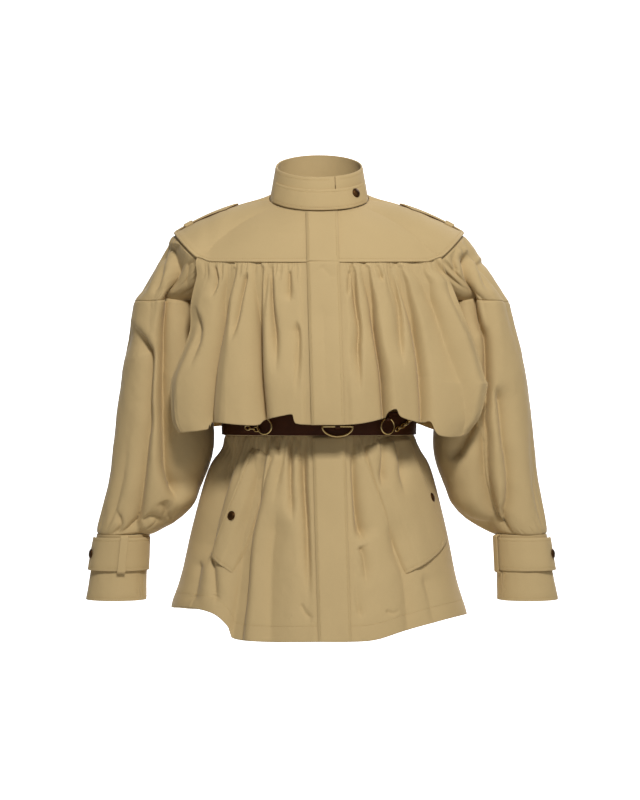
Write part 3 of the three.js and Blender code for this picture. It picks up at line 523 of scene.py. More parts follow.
def cloth(name, sheet, body, thick=0.9, bevel=0.0, finish=None, rows=None, node=True):
    """Makes a lattice into a piece: a grid whose vertices are moved onto the lattice, then given a thickness."""
    at = sheet.at if rows is None else sheet.at[rows]
    high, wide = at.shape[0] - 1, at.shape[1] - 1
    bm = bmesh.new()
    bm.loops.layers.uv.new("UVMap")
    bmesh.ops.create_grid(bm, x_segments=wide, y_segments=high, size=0.5, calc_uvs=True)
    flat = np.array([vert.co for vert in bm.verts])
    i = np.rint((flat[:, 0] + 0.5) * wide).astype(int)
    j = np.rint((0.5 - flat[:, 1]) * high).astype(int)
    for vert, place in zip(bm.verts, at[j, i] * MM):
        vert.co = place
    if isinstance(sheet, Tube):
        bmesh.ops.remove_doubles(bm, verts=bm.verts, dist=1e-6)
    if sheet.turned:
        bmesh.ops.reverse_faces(bm, faces=bm.faces)
    mesh = finish_mesh(bm, name)
    layer = mesh.uv_layers[0]
    uv = np.zeros(len(layer.data) * 2)
    layer.data.foreach_get("uv", uv)
    size = [arc(at, 1)[:, -1].mean() * MM, arc(at, 0)[-1].mean() * MM]
    layer.data.foreach_set("uv", (uv.reshape(-1, 2) * size).ravel())
    made = new_object(f"{name}_cloth", mesh, *(finish or (TWILL, "cotton_twill")), body)
    wall(made, thick, bevel)
    if node:
        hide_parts(name)
    made["cut"] = size
    return made


def rolled(sheet, roll=0.7, width=1.6):
    """Drops a strip's edges a little, as turned and pressed cloth does."""
    across, down = sheet.across, sheet.down
    edge = np.minimum(np.minimum(across, across[:, -1:] - across), np.minimum(down, down[-1:] - down))
    return -roll * np.exp(-((edge / width) ** 2))


def stitched(sheet, inset, sides="ltrb", deep=0.35, width=0.9):
    """The shallow channel that a row of stitches presses in, inset from the named edges."""
    across, down = sheet.across, sheet.down
    gaps = {"l": across, "r": across[:, -1:] - across, "t": down, "b": down[-1:] - down}
    press = np.zeros(across.shape)
    for side in sides:
        press = np.maximum(press, np.exp(-(((gaps[side] - inset) / width) ** 2)))
    return -deep * press


# ---------- sewing thread ----------
STITCH_PITCH, STITCH_LONG, THREAD_THICK = 3.4, 2.3, 0.42
threads = {}


def seam_row(sheet, inset, sides, body, trim=1.5):
    """Lays stitches along the named edges of a sheet, inset from them."""
    across, down = sheet.across, sheet.down
    high, wide = sheet.at.shape[:2]
    for side in sides:
        if side in "lr":
            k = np.array([np.interp(inset, across[j], np.arange(wide)) for j in range(high)])
            k = k if side == "l" else wide - 1 - k
            line = np.array([between(sheet.at, j, k[j]) for j in range(high)])
            facing = np.array([between(sheet.normal, j, k[j]) for j in range(high)])
        else:
            k = np.array([np.interp(inset, down[:, i], np.arange(high)) for i in range(wide)])
            k = k if side == "t" else high - 1 - k
            line = np.array([between(sheet.at, k[i], i) for i in range(wide)])
            facing = np.array([between(sheet.normal, k[i], i) for i in range(wide)])
        lay_stitches(line, facing, body, inset + trim)


def between(lattice, j, i):
    """A value of a lattice between its rows and columns."""
    j0, i0 = int(min(j, lattice.shape[0] - 1)), int(min(i, lattice.shape[1] - 1))
    j1, i1 = min(j0 + 1, lattice.shape[0] - 1), min(i0 + 1, lattice.shape[1] - 1)
    return mix(mix(lattice[j0, i0], lattice[j0, i1], i - i0), mix(lattice[j1, i0], lattice[j1, i1], i - i0), j - j0)


def lay_stitches(line, facing, body, trim=0.0):
    """Notes the places of the stitches along a line of points on the cloth."""
    run = np.concatenate([[0], np.cumsum(np.linalg.norm(np.diff(line, axis=0), axis=1))])
    for at in np.arange(trim + STITCH_PITCH / 2, run[-1] - trim, STITCH_PITCH):
        a, b, n = (
            np.array([np.interp(s, run, values[:, c]) for c in range(3)])
            for s, values in ((at - STITCH_LONG / 2, line), (at + STITCH_LONG / 2, line), (at, facing))
        )
        threads.setdefault(body, []).append((a, b, n))


def sew():
    """Makes the stitches of each body into one piece of thread."""
    for body, bits in threads.items():
        bm = bmesh.new()
        for a, b, n in bits:
            middle = Vector((a + b) / 2 * MM) + Vector(n) * THREAD_THICK * 0.25 * MM
            turn = Vector(b - a).to_track_quat("X", "Z").to_matrix().to_4x4()
            size = Matrix.Diagonal((STITCH_LONG / 2 * MM, THREAD_THICK * MM, THREAD_THICK * MM, 1))
            bmesh.ops.create_icosphere(bm, subdivisions=1, radius=1, matrix=Matrix.Translation(middle) @ turn @ size)
        new_object(f"stitches_{body}", finish_mesh(bm, f"stitches_{body}"), THREAD, "cotton_twill", body)


# ---------- materials ----------
def colour(code):
    """A linear colour from an sRGB hex value."""
    parts = [int(code[k : k + 2], 16) / 255 for k in (1, 3, 5)]
    return [c / 12.92 if c <= 0.04045 else ((c + 0.055) / 1.055) ** 2.4 for c in parts] + [1.0]


def node(tree, kind, links=(), **settings):
    """Adds a node. links gives (input, source node, output) or (input, value); settings are its properties."""
    made = tree.nodes.new(kind)
    for key, value in settings.items():
        setattr(made, key, value)
    for key, *source in links:
        if len(source) == 2:
            tree.links.new(source[0].outputs[source[1]], made.inputs[key])
        else:
            made.inputs[key].default_value = source[0]
    return made


def new_material(name, **shader):
    made = bpy.data.materials.new(name)
    made.use_nodes = True
    surface = made.node_tree.nodes["Principled BSDF"]
    for key, value in shader.items():
        surface.inputs[key.replace("_", " ")].default_value = value
    return made, made.node_tree, surface


COLOUR_A, COLOUR_B, COLOUR_OUT = 6, 7, 2  # the Mix node's colour sockets, whose names repeat
WAVE_PERIOD = 2 * math.pi / 20  # of Blender's diagonal bands, in its own units at a scale of 1


def woven(name, light, dark, pitch, rough, bump=0.35, sheen=0.1):
    """Cotton cloth: diagonal ribs of twill or the grid of plain weave, cloudy dye, and a faint sheen."""
    made, tree, surface = new_material(name, Roughness=rough, Sheen_Weight=sheen)
    surface.inputs["Sheen Roughness"].default_value = 0.4
    surface.inputs["Specular IOR Level"].default_value = 0.3
    place = node(tree, "ShaderNodeTexCoord")
    bands = [("Vector", place, "UV"), ("Scale", WAVE_PERIOD / (pitch * MM)), ("Distortion", 0.6), ("Detail", 1.0)]
    ribs = node(tree, "ShaderNodeTexWave", bands, wave_type="BANDS", bands_direction="DIAGONAL")
    slub = node(tree, "ShaderNodeTexNoise", [("Vector", place, "Object"), ("Scale", 420.0), ("Detail", 3.0)])
    cloud = node(tree, "ShaderNodeTexNoise", [("Vector", place, "Object"), ("Scale", 11.0), ("Detail", 4.0)])
    shades = [("Factor", cloud, "Fac"), (COLOUR_A, colour(light)), (COLOUR_B, colour(dark))]
    dye = node(tree, "ShaderNodeMix", shades, data_type="RGBA")
    layers = [("Factor", 0.05), (COLOUR_A, dye, COLOUR_OUT), (COLOUR_B, slub, "Fac")]
    flecks = node(tree, "ShaderNodeMix", layers, data_type="RGBA", blend_type="MULTIPLY")
    tree.links.new(flecks.outputs[COLOUR_OUT], surface.inputs["Base Color"])
    relief = node(tree, "ShaderNodeMath", [(0, ribs, "Fac"), (1, slub, "Fac")], operation="ADD")
    lumps = node(tree, "ShaderNodeBump", [("Height", relief, "Value"), ("Strength", bump), ("Distance", 0.12 * MM)])
    tree.links.new(lumps.outputs["Normal"], surface.inputs["Normal"])
    return made


def grained(name, light, dark, rough, grain, bump):
    """Leather or horn: a grain of small pebbles and pores under cloudy colour, with a semi-gloss finish."""
    made, tree, surface = new_material(name, Roughness=rough)
    surface.inputs["Specular IOR Level"].default_value = 0.22
    place = node(tree, "ShaderNodeTexCoord")
    cells = [("Vector", place, "Object"), ("Scale", 1 / (grain * MM))]
    pebbles = node(tree, "ShaderNodeTexVoronoi", cells, feature="F1")
    cloud = node(tree, "ShaderNodeTexNoise", [("Vector", place, "Object"), ("Scale", 35.0), ("Detail", 5.0)])
    shades = [("Factor", cloud, "Fac"), (COLOUR_A, colour(light)), (COLOUR_B, colour(dark))]
    tone = node(tree, "ShaderNodeMix", shades, data_type="RGBA")
    tree.links.new(tone.outputs[COLOUR_OUT], surface.inputs["Base Color"])
    pores = [("Height", pebbles, "Distance"), ("Strength", bump), ("Distance", 0.2 * MM)]
    lumps = node(tree, "ShaderNodeBump", pores, invert=True)
    tree.links.new(lumps.outputs["Normal"], surface.inputs["Normal"])
    return made


def metal(name, light, dark, rough, scale, bump=0.04):
    """Plated metal: a slightly uneven polish with darker, duller patches."""
    made, tree, surface = new_material(name, Metallic=1.0)
    place = node(tree, "ShaderNodeTexCoord")
    cloud = node(tree, "ShaderNodeTexNoise", [("Vector", place, "Object"), ("Scale", scale), ("Detail", 4.0)])
    shades = [("Factor", cloud, "Fac"), (COLOUR_A, colour(light)), (COLOUR_B, colour(dark))]
    tone = node(tree, "ShaderNodeMix", shades, data_type="RGBA")
    tree.links.new(tone.outputs[COLOUR_OUT], surface.inputs["Base Color"])
    span = [("From Min", 0.3), ("From Max", 0.7), ("To Min", rough), ("To Max", rough + 0.12)]
    polish = node(tree, "ShaderNodeMapRange", [("Value", cloud, "Fac"), *span])
    tree.links.new(polish.outputs["Result"], surface.inputs["Roughness"])
    lumps = node(tree, "ShaderNodeBump", [("Height", cloud, "Fac"), ("Strength", bump), ("Distance", 0.3 * MM)])
    tree.links.new(lumps.outputs["Normal"], surface.inputs["Normal"])
    return made


# Cotton gabardine, piece-dyed khaki: its ribs are 0.4 mm apart, drawn coarser so that they show.
TWILL = woven("cotton_gabardine", "#c6ac7c", "#b9a072", 1.3, 0.8)
# Plain-weave cotton lining, dull and a little darker.
LINING = woven("cotton_lining", "#a58f62", "#9a8458", 1.6, 0.9, sheen=0.0)
# Polyester-cotton topstitching thread, dyed to match the cloth.
THREAD = woven("sewing_thread", "#c4aa76", "#b89c66", 0.8, 0.6)
# Vegetable-tanned belt leather, dyed dark brown, with a dull waxed finish.
LEATHER = grained("belt_leather", "#4e260b", "#301503", 0.5, 1.1, 0.35)
# Brass with a pale gold plating, polished.
BRASS = metal("pale_gold_plate", "#e6cf98", "#c9a865", 0.16, 60.0)
# Brass snaps with a dark bronze finish, rubbed lighter on high spots.
BRONZE = metal("dark_bronze", "#6a4a2a", "#3a2414", 0.34, 220.0)
# Buttons turned from horn, satin.
HORN = grained("horn", "#5a412b", "#33231a", 0.35, 3.0, 0.05)
LINED, HIDE = (LINING, "cotton_lining"), (LEATHER, "belt_leather")  # a material and its slot
snap_seats = {}  # where each snap sits on the piece it closes


def seat_near(sheet, place):
    """The foot and direction of a fitting on a sheet, at a place as seen from in front."""
    x, y = seen(sheet.at)
    nearest = np.unravel_index(np.argmin(np.hypot(x - place[0], y - place[1])), x.shape)
    return sheet.at[nearest] * MM, sheet.normal[nearest]


# ---------- yokes and collar ----------
def follow(sheet, targets, weight, axis):
    """Eases an edge towards places given as seen from in front; targets are (along, place) pairs."""
    across, up = seen(sheet.at)
    along, place = (up, across) if axis == 0 else (across, up)
    known = sorted(map(tuple, smooth_route(targets, 6)))
    wanted = np.interp(along, [a for a, _ in known], [b for _, b in known])
    edge = place[:, -1:] if axis == 0 else place[-1:, :]
    wanted = wanted[:, -1:] if axis == 0 else wanted[-1:, :]
    move = (wanted - edge) * weight
    sheet.at = sheet.at.copy()
    sheet.at[..., 0 if axis == 0 else 2] += move
    return sheet


def joined(sheet, column, edge, over=0.12):
    """Eases a sheet's side edge onto another sheet's edge, so that their seam is closed."""
    rows = np.linspace(0, 1, len(edge))
    line = np.stack([np.interp(np.linspace(0, 1, len(sheet.at)), rows, edge[:, c]) for c in range(3)], -1)
    reach = np.abs(sheet.u - sheet.u[0, column]) / over
    sheet.at = sheet.at + ease(1 - reach)[..., None] * (line - sheet.at[:, column])[:, None]
    return sheet


def close_sides(back, edges):
    """Joins a back panel to its two fronts' side edges."""
    for column in (0, -1):
        joined(back, column, edges["left" if back.at[0, column, 0] > 0 else "right"])


def seam_drop(sheet, weight):
    """The front yoke's seam hangs a little lower than its pattern."""
    x = np.abs(sheet.base[..., 0])
    sheet.at = sheet.at.copy()
    sheet.at[..., 2] -= SEAM_DROP * ease((YOKE_CORNER[0] - x) / 22) * weight
    return sheet


def yoke_front(side):
    def surface(u, v):
        meeting = side * PLACKET_MIDDLE + 0 * v
        first = share_where(lambda s: yoke_point(FRONT, s, v)[..., 0], np.abs(meeting), 0, SEAM_CORNER)
        return mirrored(yoke_point(FRONT, mix(np.sign(meeting) * first, 1, u), v), side)

    return surface


def yoke(name, sheet, tucked, seed, dropped):
    """A yoke laps over the panel below it, and is tucked in at its armhole end."""
    lap = 1.2 * ease((sheet.v - 0.9) / 0.08)
    lap = lap - 2.0 * tucked(sheet.u)
    sheet.raised(CLOTH + lap + tumble(sheet.across, sheet.down, seed, 0.45) * np.sin(math.pi * sheet.v))
    sheet.raised(stitched(sheet, YOKE_STITCH, "b", 0.3))
    if dropped:
        seam_drop(sheet, ease((sheet.v - 0.5) / 0.5))
    cloth(name, sheet, "coat_body", 1.6, 0)
    seam_row(sheet, YOKE_STITCH, "b", "coat_body")


def yokes():
    for name, side in SIDES.items():
        front = Sheet(yoke_front(side), 110, 70)
        yoke(f"yoke_front_{name}", front, lambda u: ease((u - 0.93) / 0.07), 11 + side, True)
    back = Sheet(lambda u, v: yoke_point(BACK, 1 - 2 * u, v), 200, 70)
    yoke("yoke_back", back, lambda u: ease((np.abs(2 * u - 1) - 0.95) / 0.05), 15, False)


def collar():
    span = (COLLAR_SLIT_DEG + 0.4, COLLAR_SLIT_DEG + 359.6)
    sheet = Sheet(lambda u, v: collar_point(mix(*span, u), 1 - v, 0.0), 220, 26)
    sheet.raised(rolled(sheet, 0.5) + stitched(sheet, 5.0, "tlr", 0.3) + tumble(sheet.across, sheet.down, 21, 0.3))
    cloth("collar_stand", sheet, "coat_body", 2.4, 0.7)
    seam_row(sheet, 5.0, "t", "coat_body")

    high = (TAB_RISE + TAB_WIDE) / COLLAR_HIGH, TAB_RISE / COLLAR_HIGH
    sheet = Sheet(lambda u, v: collar_point(mix(*TAB_DEG, u), mix(*high, v), strap_lift(u)), 130, 34)
    sheet.raised(rolled(sheet, 0.6) + stitched(sheet, 4.0, "ltrb", 0.3) + tumble(sheet.across, sheet.down, 25, 0.3))
    snap_seats["collar"] = seat_near(sheet, (53.5, 10.5))
    cloth("collar_tab", sheet, "throat_tab", STRAP_THICK, 0.7)
    for inset, sides in ((4.0, "tbr"), (3.0, "l"), (15.0, "l")):
        seam_row(sheet, inset, sides, "throat_tab")

    half = math.degrees(HANGER_HALF / NECK_DEEP)

    def loop(u, v):
        sag = 9.0 * np.sin(math.pi * u) ** 2
        height = mix(HANGER_TOP, HANGER_FOOT, v) / COLLAR_HIGH
        return collar_point(90 + half * (2 * u - 1), height, -CLOTH - 0.4 - sag)

    sheet = Sheet(loop, 40, 10)
    cloth("hanger_loop", sheet, "coat_body", 1.6, 0.5)


# ---------- body panels ----------
def bodice():
    for name, side in SIDES.items():
        sheet = Sheet(front_panel(bodice_row, side), 60, 60)
        sheet.raised(tumble(sheet.across, sheet.down, 31 + side, 0.5) - 1.5)
        cloth(f"bodice_front_{name}", sheet, "coat_body", finish=LINED)
    sheet = Sheet(back_panel(bodice_row), 110, 60)
    sheet.raised(tumble(sheet.across, sheet.down, 35, 0.5) - 1.5)
    cloth("bodice_back", sheet, "coat_body", finish=LINED)
    half = 17.0 / PLACKET_WIDE

    def underlap(u, v):
        t = mix(0.01, 0.985, v)
        x = placket_x(bodice_row(FRONT, t)[0][..., 2], mix(0.5 - half, 0.5 + half, u))
        return panel_point(bodice_row, FRONT, share_at(bodice_row, x, t), t)

    sheet = Sheet(underlap, 16, 60)
    sheet.raised(-3.0 + 0 * sheet.u)
    cloth("fly_underlap", sheet, "coat_body", finish=LINED)


def clear_of_placket(sheet, room=27.0, soft=9.0):
    """1 away from the placket and 0 under it."""
    x = sheet.base[..., 0] - placket_x(sheet.base[..., 2], 0.5)
    return ease((np.abs(x) - room) / soft)


def pressed(sheet, lines, grow=0.0):
    """The joint press and sideways push of several placed fold lines."""
    across, up = seen(sheet.base)
    press, push = np.zeros(across.shape), np.zeros(across.shape)
    for line in lines:
        a, b = crease(across, up, *line, grow=grow)
        press += a * a
        push += b
    return np.sqrt(press), push


# Fold lines: their route as seen from in front, how deep they are, the widths of their banks, the shares of the
# route over which they fade in and out, and how far the bank hangs over sideways.
FLOUNCE_FOLDS = {
    "right": [
        ([(-125, -96), (-135, -136), (-139, -162), (-145, -200), (-151, -251), (-160, -335)], 20, (9, 3.6),
          (0, 0), -4),
        ([(-103, -96), (-114, -148), (-128, -215)], 8, (5, 2.0)),
        ([(-84, -94), (-87, -130), (-88, -183), (-87, -251), (-80, -335)], 19, (9, 3.3), (0, 0), 6),
        ([(-68, -94), (-67, -148), (-62, -200), (-61, -262)], 9, (5, 2.0), (0, 0.4)),
        ([(-42, -94), (-42, -152)], 6, (4, 2.0)),
        ([(-33, -173), (-29, -207), (-33, -285)], 6, (7, 2.8), (0.3, 0.4)),
        ([(-150, -94), (-153, -120), (-160, -150)], 6, (5, 2.0), (0, 0.5)),
        ([(-184, -150), (-180, -200), (-186, -260)], 8, (12, 4.4), (0.3, 0.5)),
    ],
    "left": [
        ([(45, -94), (42, -145)], 6, (4, 2.0)),
        ([(50, -94), (54, -146), (59, -187), (58, -222), (62, -300)], 11, (6, 2.2), (0, 0.3)),
        ([(69, -94), (77, -146), (80, -178), (86, -222), (91, -257), (96, -335)], 19, (8, 3.0), (0, 0), 5),
        ([(86, -91), (94, -118)], 6, (4, 2.0), (0, 0.5)),
        ([(104, -94), (116, -151), (120, -204), (123, -262)], 11, (7, 2.5), (0, 0.4)),
        ([(116, -94), (133, -164), (144, -231), (154, -335)], 19, (9, 3.6), (0, 0), 5),
        ([(146, -92), (160, -151), (171, -204), (182, -245), (206, -335)], 12, (16, 6.1), (0, 0)),
        ([(168, -88), (182, -110), (199, -140)], 8, (7, 2.5), (0, 0.4)),
    ],
}
FLOUNCE_EDGES = {
    "right": [(-93, -173), (-148, -186), (-191, -188), (-241, -207), (-271, -215), (-319, -213), (-340, -203)],
    "left": [(-93, 180), (-196, 221), (-257, 240), (-265, 244), (-289, 240), (-315, 232), (-345, 210)],
}
FLOUNCE_HEMS = {
    "right": [(-214, -330), (-204, -337), (-160, -332), (-157, -323), (-114, -326), (-88, -326), (-78, -319),
        (-52, -313), (-38, -312), (-33, -324), (12, -326)],
    "left": [(-6, -326), (52, -325), (93, -317), (98, -310), (112, -304), (120, -315), (148, -323), (162, -322),
        (175, -341), (212, -341), (230, -318), (240, -300)],
}


def flounces():
    edges = {}
    for name, side in SIDES.items():
        sheet = Sheet(front_panel(flounce_row, side), 170, 150, down=(-0.015, 1.0))
        down = np.maximum(sheet.down - 3.5, 0)
        free = clear_of_placket(sheet)
        press, push = pressed(sheet, FLOUNCE_FOLDS[name], 1.0)
        press = np.minimum(press * 1.35, 3.0 + down * 0.2)
        seam = sheet.across / sheet.spread()
        fine = gathers(seam, down, sheet.spread(), 41 + side, 24, 176, 8.0, 4.6, (18, 70), 0.15, (80, 170))
        folds = np.sqrt(press**2 + np.minimum(fine, 2.0 + down * 0.2) ** 2)
        edge = ease((sheet.u - 0.9) / 0.1)
        rise = puff(down, 3.4, 6, 60) + 3.0 * ease(down / 180)
        sheet.raised(2.0 + free * (rise - folds) + tumble(sheet.across, sheet.down, 45 + side, 0.7) * ease(down / 25))
        sheet.raised(-10.0 * edge * ease(down / 120))
        sheet.at[..., 0] += push * free * ease(down / 150)
        seam_drop(sheet, 1 - ease(sheet.v / 0.3))
        follow(sheet, FLOUNCE_EDGES[name], ease((sheet.u - 0.5) / 0.5) * ease(down / 30), 0)
        follow(sheet, FLOUNCE_HEMS[name], ease((sheet.v - 0.45) / 0.55), 1)
        edges[name] = sheet.at[:, -1].copy()
        cloth(f"flounce_front_{name}", sheet, "coat_body", 0.8, 0)
    sheet = Sheet(back_panel(flounce_row), 300, 130, down=(-0.015, 1.0))
    down = np.maximum(sheet.down - 3.5, 0)
    seam, wide = sheet.across / sheet.spread(), sheet.across[0, -1]
    fine = gathers(seam, down, sheet.spread(), 51, 4, wide - 4, 8.0, 5.0, (18, 80), 0.28, (150, 420))
    rise = puff(down, 3.4, 6, 60) + 4.0 * ease(down / 180)
    folds = np.minimum(fine, 2.0 + down * 0.2)
    sheet.raised(2.0 + rise - folds + tumble(sheet.across, sheet.down, 55, 0.7) * ease(down / 25))
    sheet.at[..., 2] += noise(sheet.across, 0 * sheet.down, 42, 57) * 6 * ease((sheet.v - 0.6) / 0.4)
    close_sides(sheet, edges)
    cloth("flounce_back", sheet, "coat_body", 0.8, 0)


PEPLUM_FOLDS = {
    "right": [
        ([(-74, -339), (-83, -374), (-93, -435), (-105, -486), (-112, -563), (-122, -640)], 20, (11, 4),
          (0, 0)),
        ([(-112, -341), (-124, -377), (-140, -425), (-154, -474), (-162, -515), (-164, -560)], 12, (16, 5),
          (0, 0.3)),
        ([(-157, -515), (-154, -600)], 7, (4, 6), (0.2, 0)),
        ([(-173, -519), (-184, -600)], 7, (5, 7), (0.3, 0)),
        ([(-42, -345), (-42, -419), (-38, -475)], 7, (3, 4), (0, 0.4)),
        ([(-25, -342), (-22, -419), (-15, -496), (-11, -600)], 11, (5, 7), (0, 0.3)),
        ([(-28, -584), (-16, -604), (0, -606)], 3, (3, 3)),
        ([(-60, -342), (-58, -380)], 5, (3, 3), (0, 0.6)),
        ([(-60, -440), (-70, -520), (-72, -640)], 7, (12, 16), (0.3, 0)),
    ],
    "left": [
        ([(42, -342), (49, -407), (56, -463), (66, -500)], 12, (4, 6), (0, 0.25)),
        ([(58, -502), (65, -519), (70, -568)], 5, (3, 5)),
        ([(49, -555), (55, -587), (64, -610)], 3, (3, 4)),
        ([(88, -341), (91, -386), (88, -425)], 8, (3, 5), (0, 0.4)),
        ([(107, -341), (117, -381), (120, -440)], 8, (4, 5), (0, 0.4)),
        ([(62, -339), (71, -380)], 5, (3, 4), (0, 0.5)),
        ([(100, -445), (112, -508), (125, -552), (134, -640)], 8, (9, 14), (0.3, 0)),
        ([(95, -600), (110, -606), (122, -600)], 3, (3, 3)),
        ([(150, -540), (160, -580), (168, -620)], 5, (6, 10), (0.3, 0)),
    ],
}
PEPLUM_HEMS = {
    "right": [(-214, -590), (-186, -592), (-152, -602), (-130, -622), (-124, -636), (-75, -641), (10, -641)],
    "left": [(-10, -641), (42, -641), (83, -638), (125, -625), (171, -612), (216, -600)],
}
PEPLUM_EDGES = {
    "right": [(-341, -133), (-362, -142), (-392, -161), (-474, -184), (-541, -199), (-583, -213), (-600, -214)],
    "left": [(-341, 138), (-362, 147), (-392, 163), (-474, 184), (-541, 199), (-583, 213), (-605, 216)],
}


WELT_REACH = {"right": 0.13, "left": -1.05}  # where the opening edge lies, in widths of the welt


def pocket_point(name, a, b):
    s = mix(POCKET_TOP[0], POCKET_FOOT[0], a) - WELT_ACROSS * b
    t = np.maximum(mix(POCKET_TOP[1], POCKET_FOOT[1], a) + WELT_TILT * b, 0.004)
    return panel_point(peplum_row, FRONT, SIDES[name] * s, t)


def peplum_relief(sheet, name):
    """The peplum's own folds and unevenness, which the pocket's welt on top of it shares."""
    press, _ = pressed(sheet, PEPLUM_FOLDS[name], 0.8)
    x, y = seen(sheet.base)
    limit = np.minimum(2 + np.maximum(-WAIST_DROP - y, 0) * 0.25, 17.0)
    return tumble(x, y, 65 + SIDES[name], 0.9) - np.minimum(press * 1.4, limit)


def clear_of_pocket(sheet, name):
    """1 away from the pocket's welt and 0 under it."""
    corners = [np.array(seen(pocket_point(name, np.array(a), np.array(b)))) for a, b in ((0, 0), (1, 0), (0, 1))]
    legs = np.linalg.inv(np.array([corners[1] - corners[0], corners[2] - corners[0]]).T)
    x, y = seen(sheet.base)
    a, b = np.tensordot(legs, np.array([x - corners[0][0], y - corners[0][1]]), 1)
    along = ease((0.72 - np.abs(a - 0.42)) / 0.14)
    return 1 - along * ease((1.04 - b) / 0.1) * ease((b - WELT_REACH[name] + 0.25) / 0.25)


def peplums():
    edges = {}
    for name, side in SIDES.items():
        sheet = Sheet(front_panel(peplum_row, side), 170, 180)
        loose = clear_of_placket(sheet)
        free = loose * clear_of_pocket(sheet, name)
        down = sheet.down
        seam = sheet.across / sheet.spread()
        fine = gathers(seam, down, sheet.spread(), 61 + side, 24, 190, 7.0, 4.4, (14, 60), 0.15, (70, 170))
        folds = np.minimum(fine, 2 + down * 0.2)
        sheet.raised(CLOTH + free * (puff(down, 4.5, 8, 70) - folds) + peplum_relief(sheet, name) * loose)
        follow(sheet, PEPLUM_EDGES[name], ease((sheet.u - 0.5) / 0.5) * ease(down / 20), 0)
        follow(sheet, PEPLUM_HEMS[name], ease((sheet.v - 0.5) / 0.5), 1)
        edges[name] = sheet.at[:, -1].copy()
        sheet.raised(stitched(sheet, PEPLUM_TURN, "b", 0.3, 0.8))
        cloth(f"peplum_front_{name}", sheet, "coat_body", 0.9, 0)
        seam_row(sheet, PEPLUM_TURN, "b", "coat_body")
    sheet = Sheet(back_panel(peplum_row), 300, 150)
    down, seam, wide = sheet.down, sheet.across / sheet.spread(), sheet.across[0, -1]
    fine = gathers(seam, down, sheet.spread(), 71, 4, wide - 4, 7.5, 4.6, (15, 70), 0.25, (120, 420))
    folds = np.minimum(fine, 2.0 + down * 0.2)
    sheet.raised(CLOTH + puff(down, 4.5, 8, 70) - folds + tumble(sheet.across, down, 75, 0.9))
    sheet.at[..., 2] += noise(sheet.across, 0 * down, 60, 77) * 4 * ease((sheet.v - 0.6) / 0.4)
    sheet.raised(stitched(sheet, PEPLUM_TURN, "b", 0.3, 0.8))
    close_sides(sheet, edges)
    cloth("peplum_back", sheet, "coat_body", 0.9, 0)
    seam_row(sheet, PEPLUM_TURN, "b", "coat_body")


WELT_START = {"right": -0.24, "left": -0.34}
SNAP_AT = {"right": (-127.6, -458.0), "left": (178.0, -426.0)}


def pockets():
    for name in SIDES:
        reach = WELT_REACH[name]

        def welt(u, v):
            return pocket_point(name, mix(WELT_START[name], mix(0.99, 1.1, v), u), mix(reach, 1.0, v))

        sheet = Sheet(welt, 110, 60)
        height = sheet.down[-1:] - sheet.down
        lift = STUD_ROOM * ease((height - 18) / 8) + 1.5 * np.sin(math.pi * np.clip(height / 60, 0, 1))
        sunk = 4.5 * ease((7 - height) / 7) + 4.5 * ease((9 - sheet.across) / 9)
        sheet.raised(2 * CLOTH + LAYER_GAP + lift - sunk + rolled(sheet, 0.7) + stitched(sheet, 5.0, "tr", 0.35))
        sheet.raised(peplum_relief(sheet, name))
        snap_seats[name] = seat_near(sheet, SNAP_AT[name])
        cloth(f"pocket_welt_{name}", sheet, f"pocket_flap_{name}", 2.2, 0.6)
        seam_row(sheet, 5.0, "tr", f"pocket_flap_{name}")
        for face, gap in (("front", 2.0), ("back", 14.0)):
            sheet = Sheet(lambda u, v: pocket_point(name, mix(0.02, 1.3, u), mix(0.1, 1.5, v)), 40, 40)
            belly = 16 * sheet.u * (1 - sheet.u) * sheet.v * (1 - sheet.v)
            sheet.raised(-20.0 - gap * np.sqrt(np.clip(belly, 0, 1)))
            bag = cloth(f"pocket_bag_{face}_{name}", sheet, "coat_body", 0.5, finish=LINED, node=False)
            if face == "back":
                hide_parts(f"pocket_bag_{name}")


# ---------- fly front ----------
def placket_sheet(point_at, top, foot, rows):
    def surface(u, v):
        t = mix(top, foot, v)
        return point_at(placket_x(point_at(0 * t, t)[..., 2], u), t)

    sheet = Sheet(surface, 30, rows)
    rise = 2.3 * ease(np.minimum(sheet.u, 1 - sheet.u) / 0.1)
    sheet.raised(CLOTH + LAYER_GAP + PLY + rise + rolled(sheet, 0.5, 1.2))
    return sheet


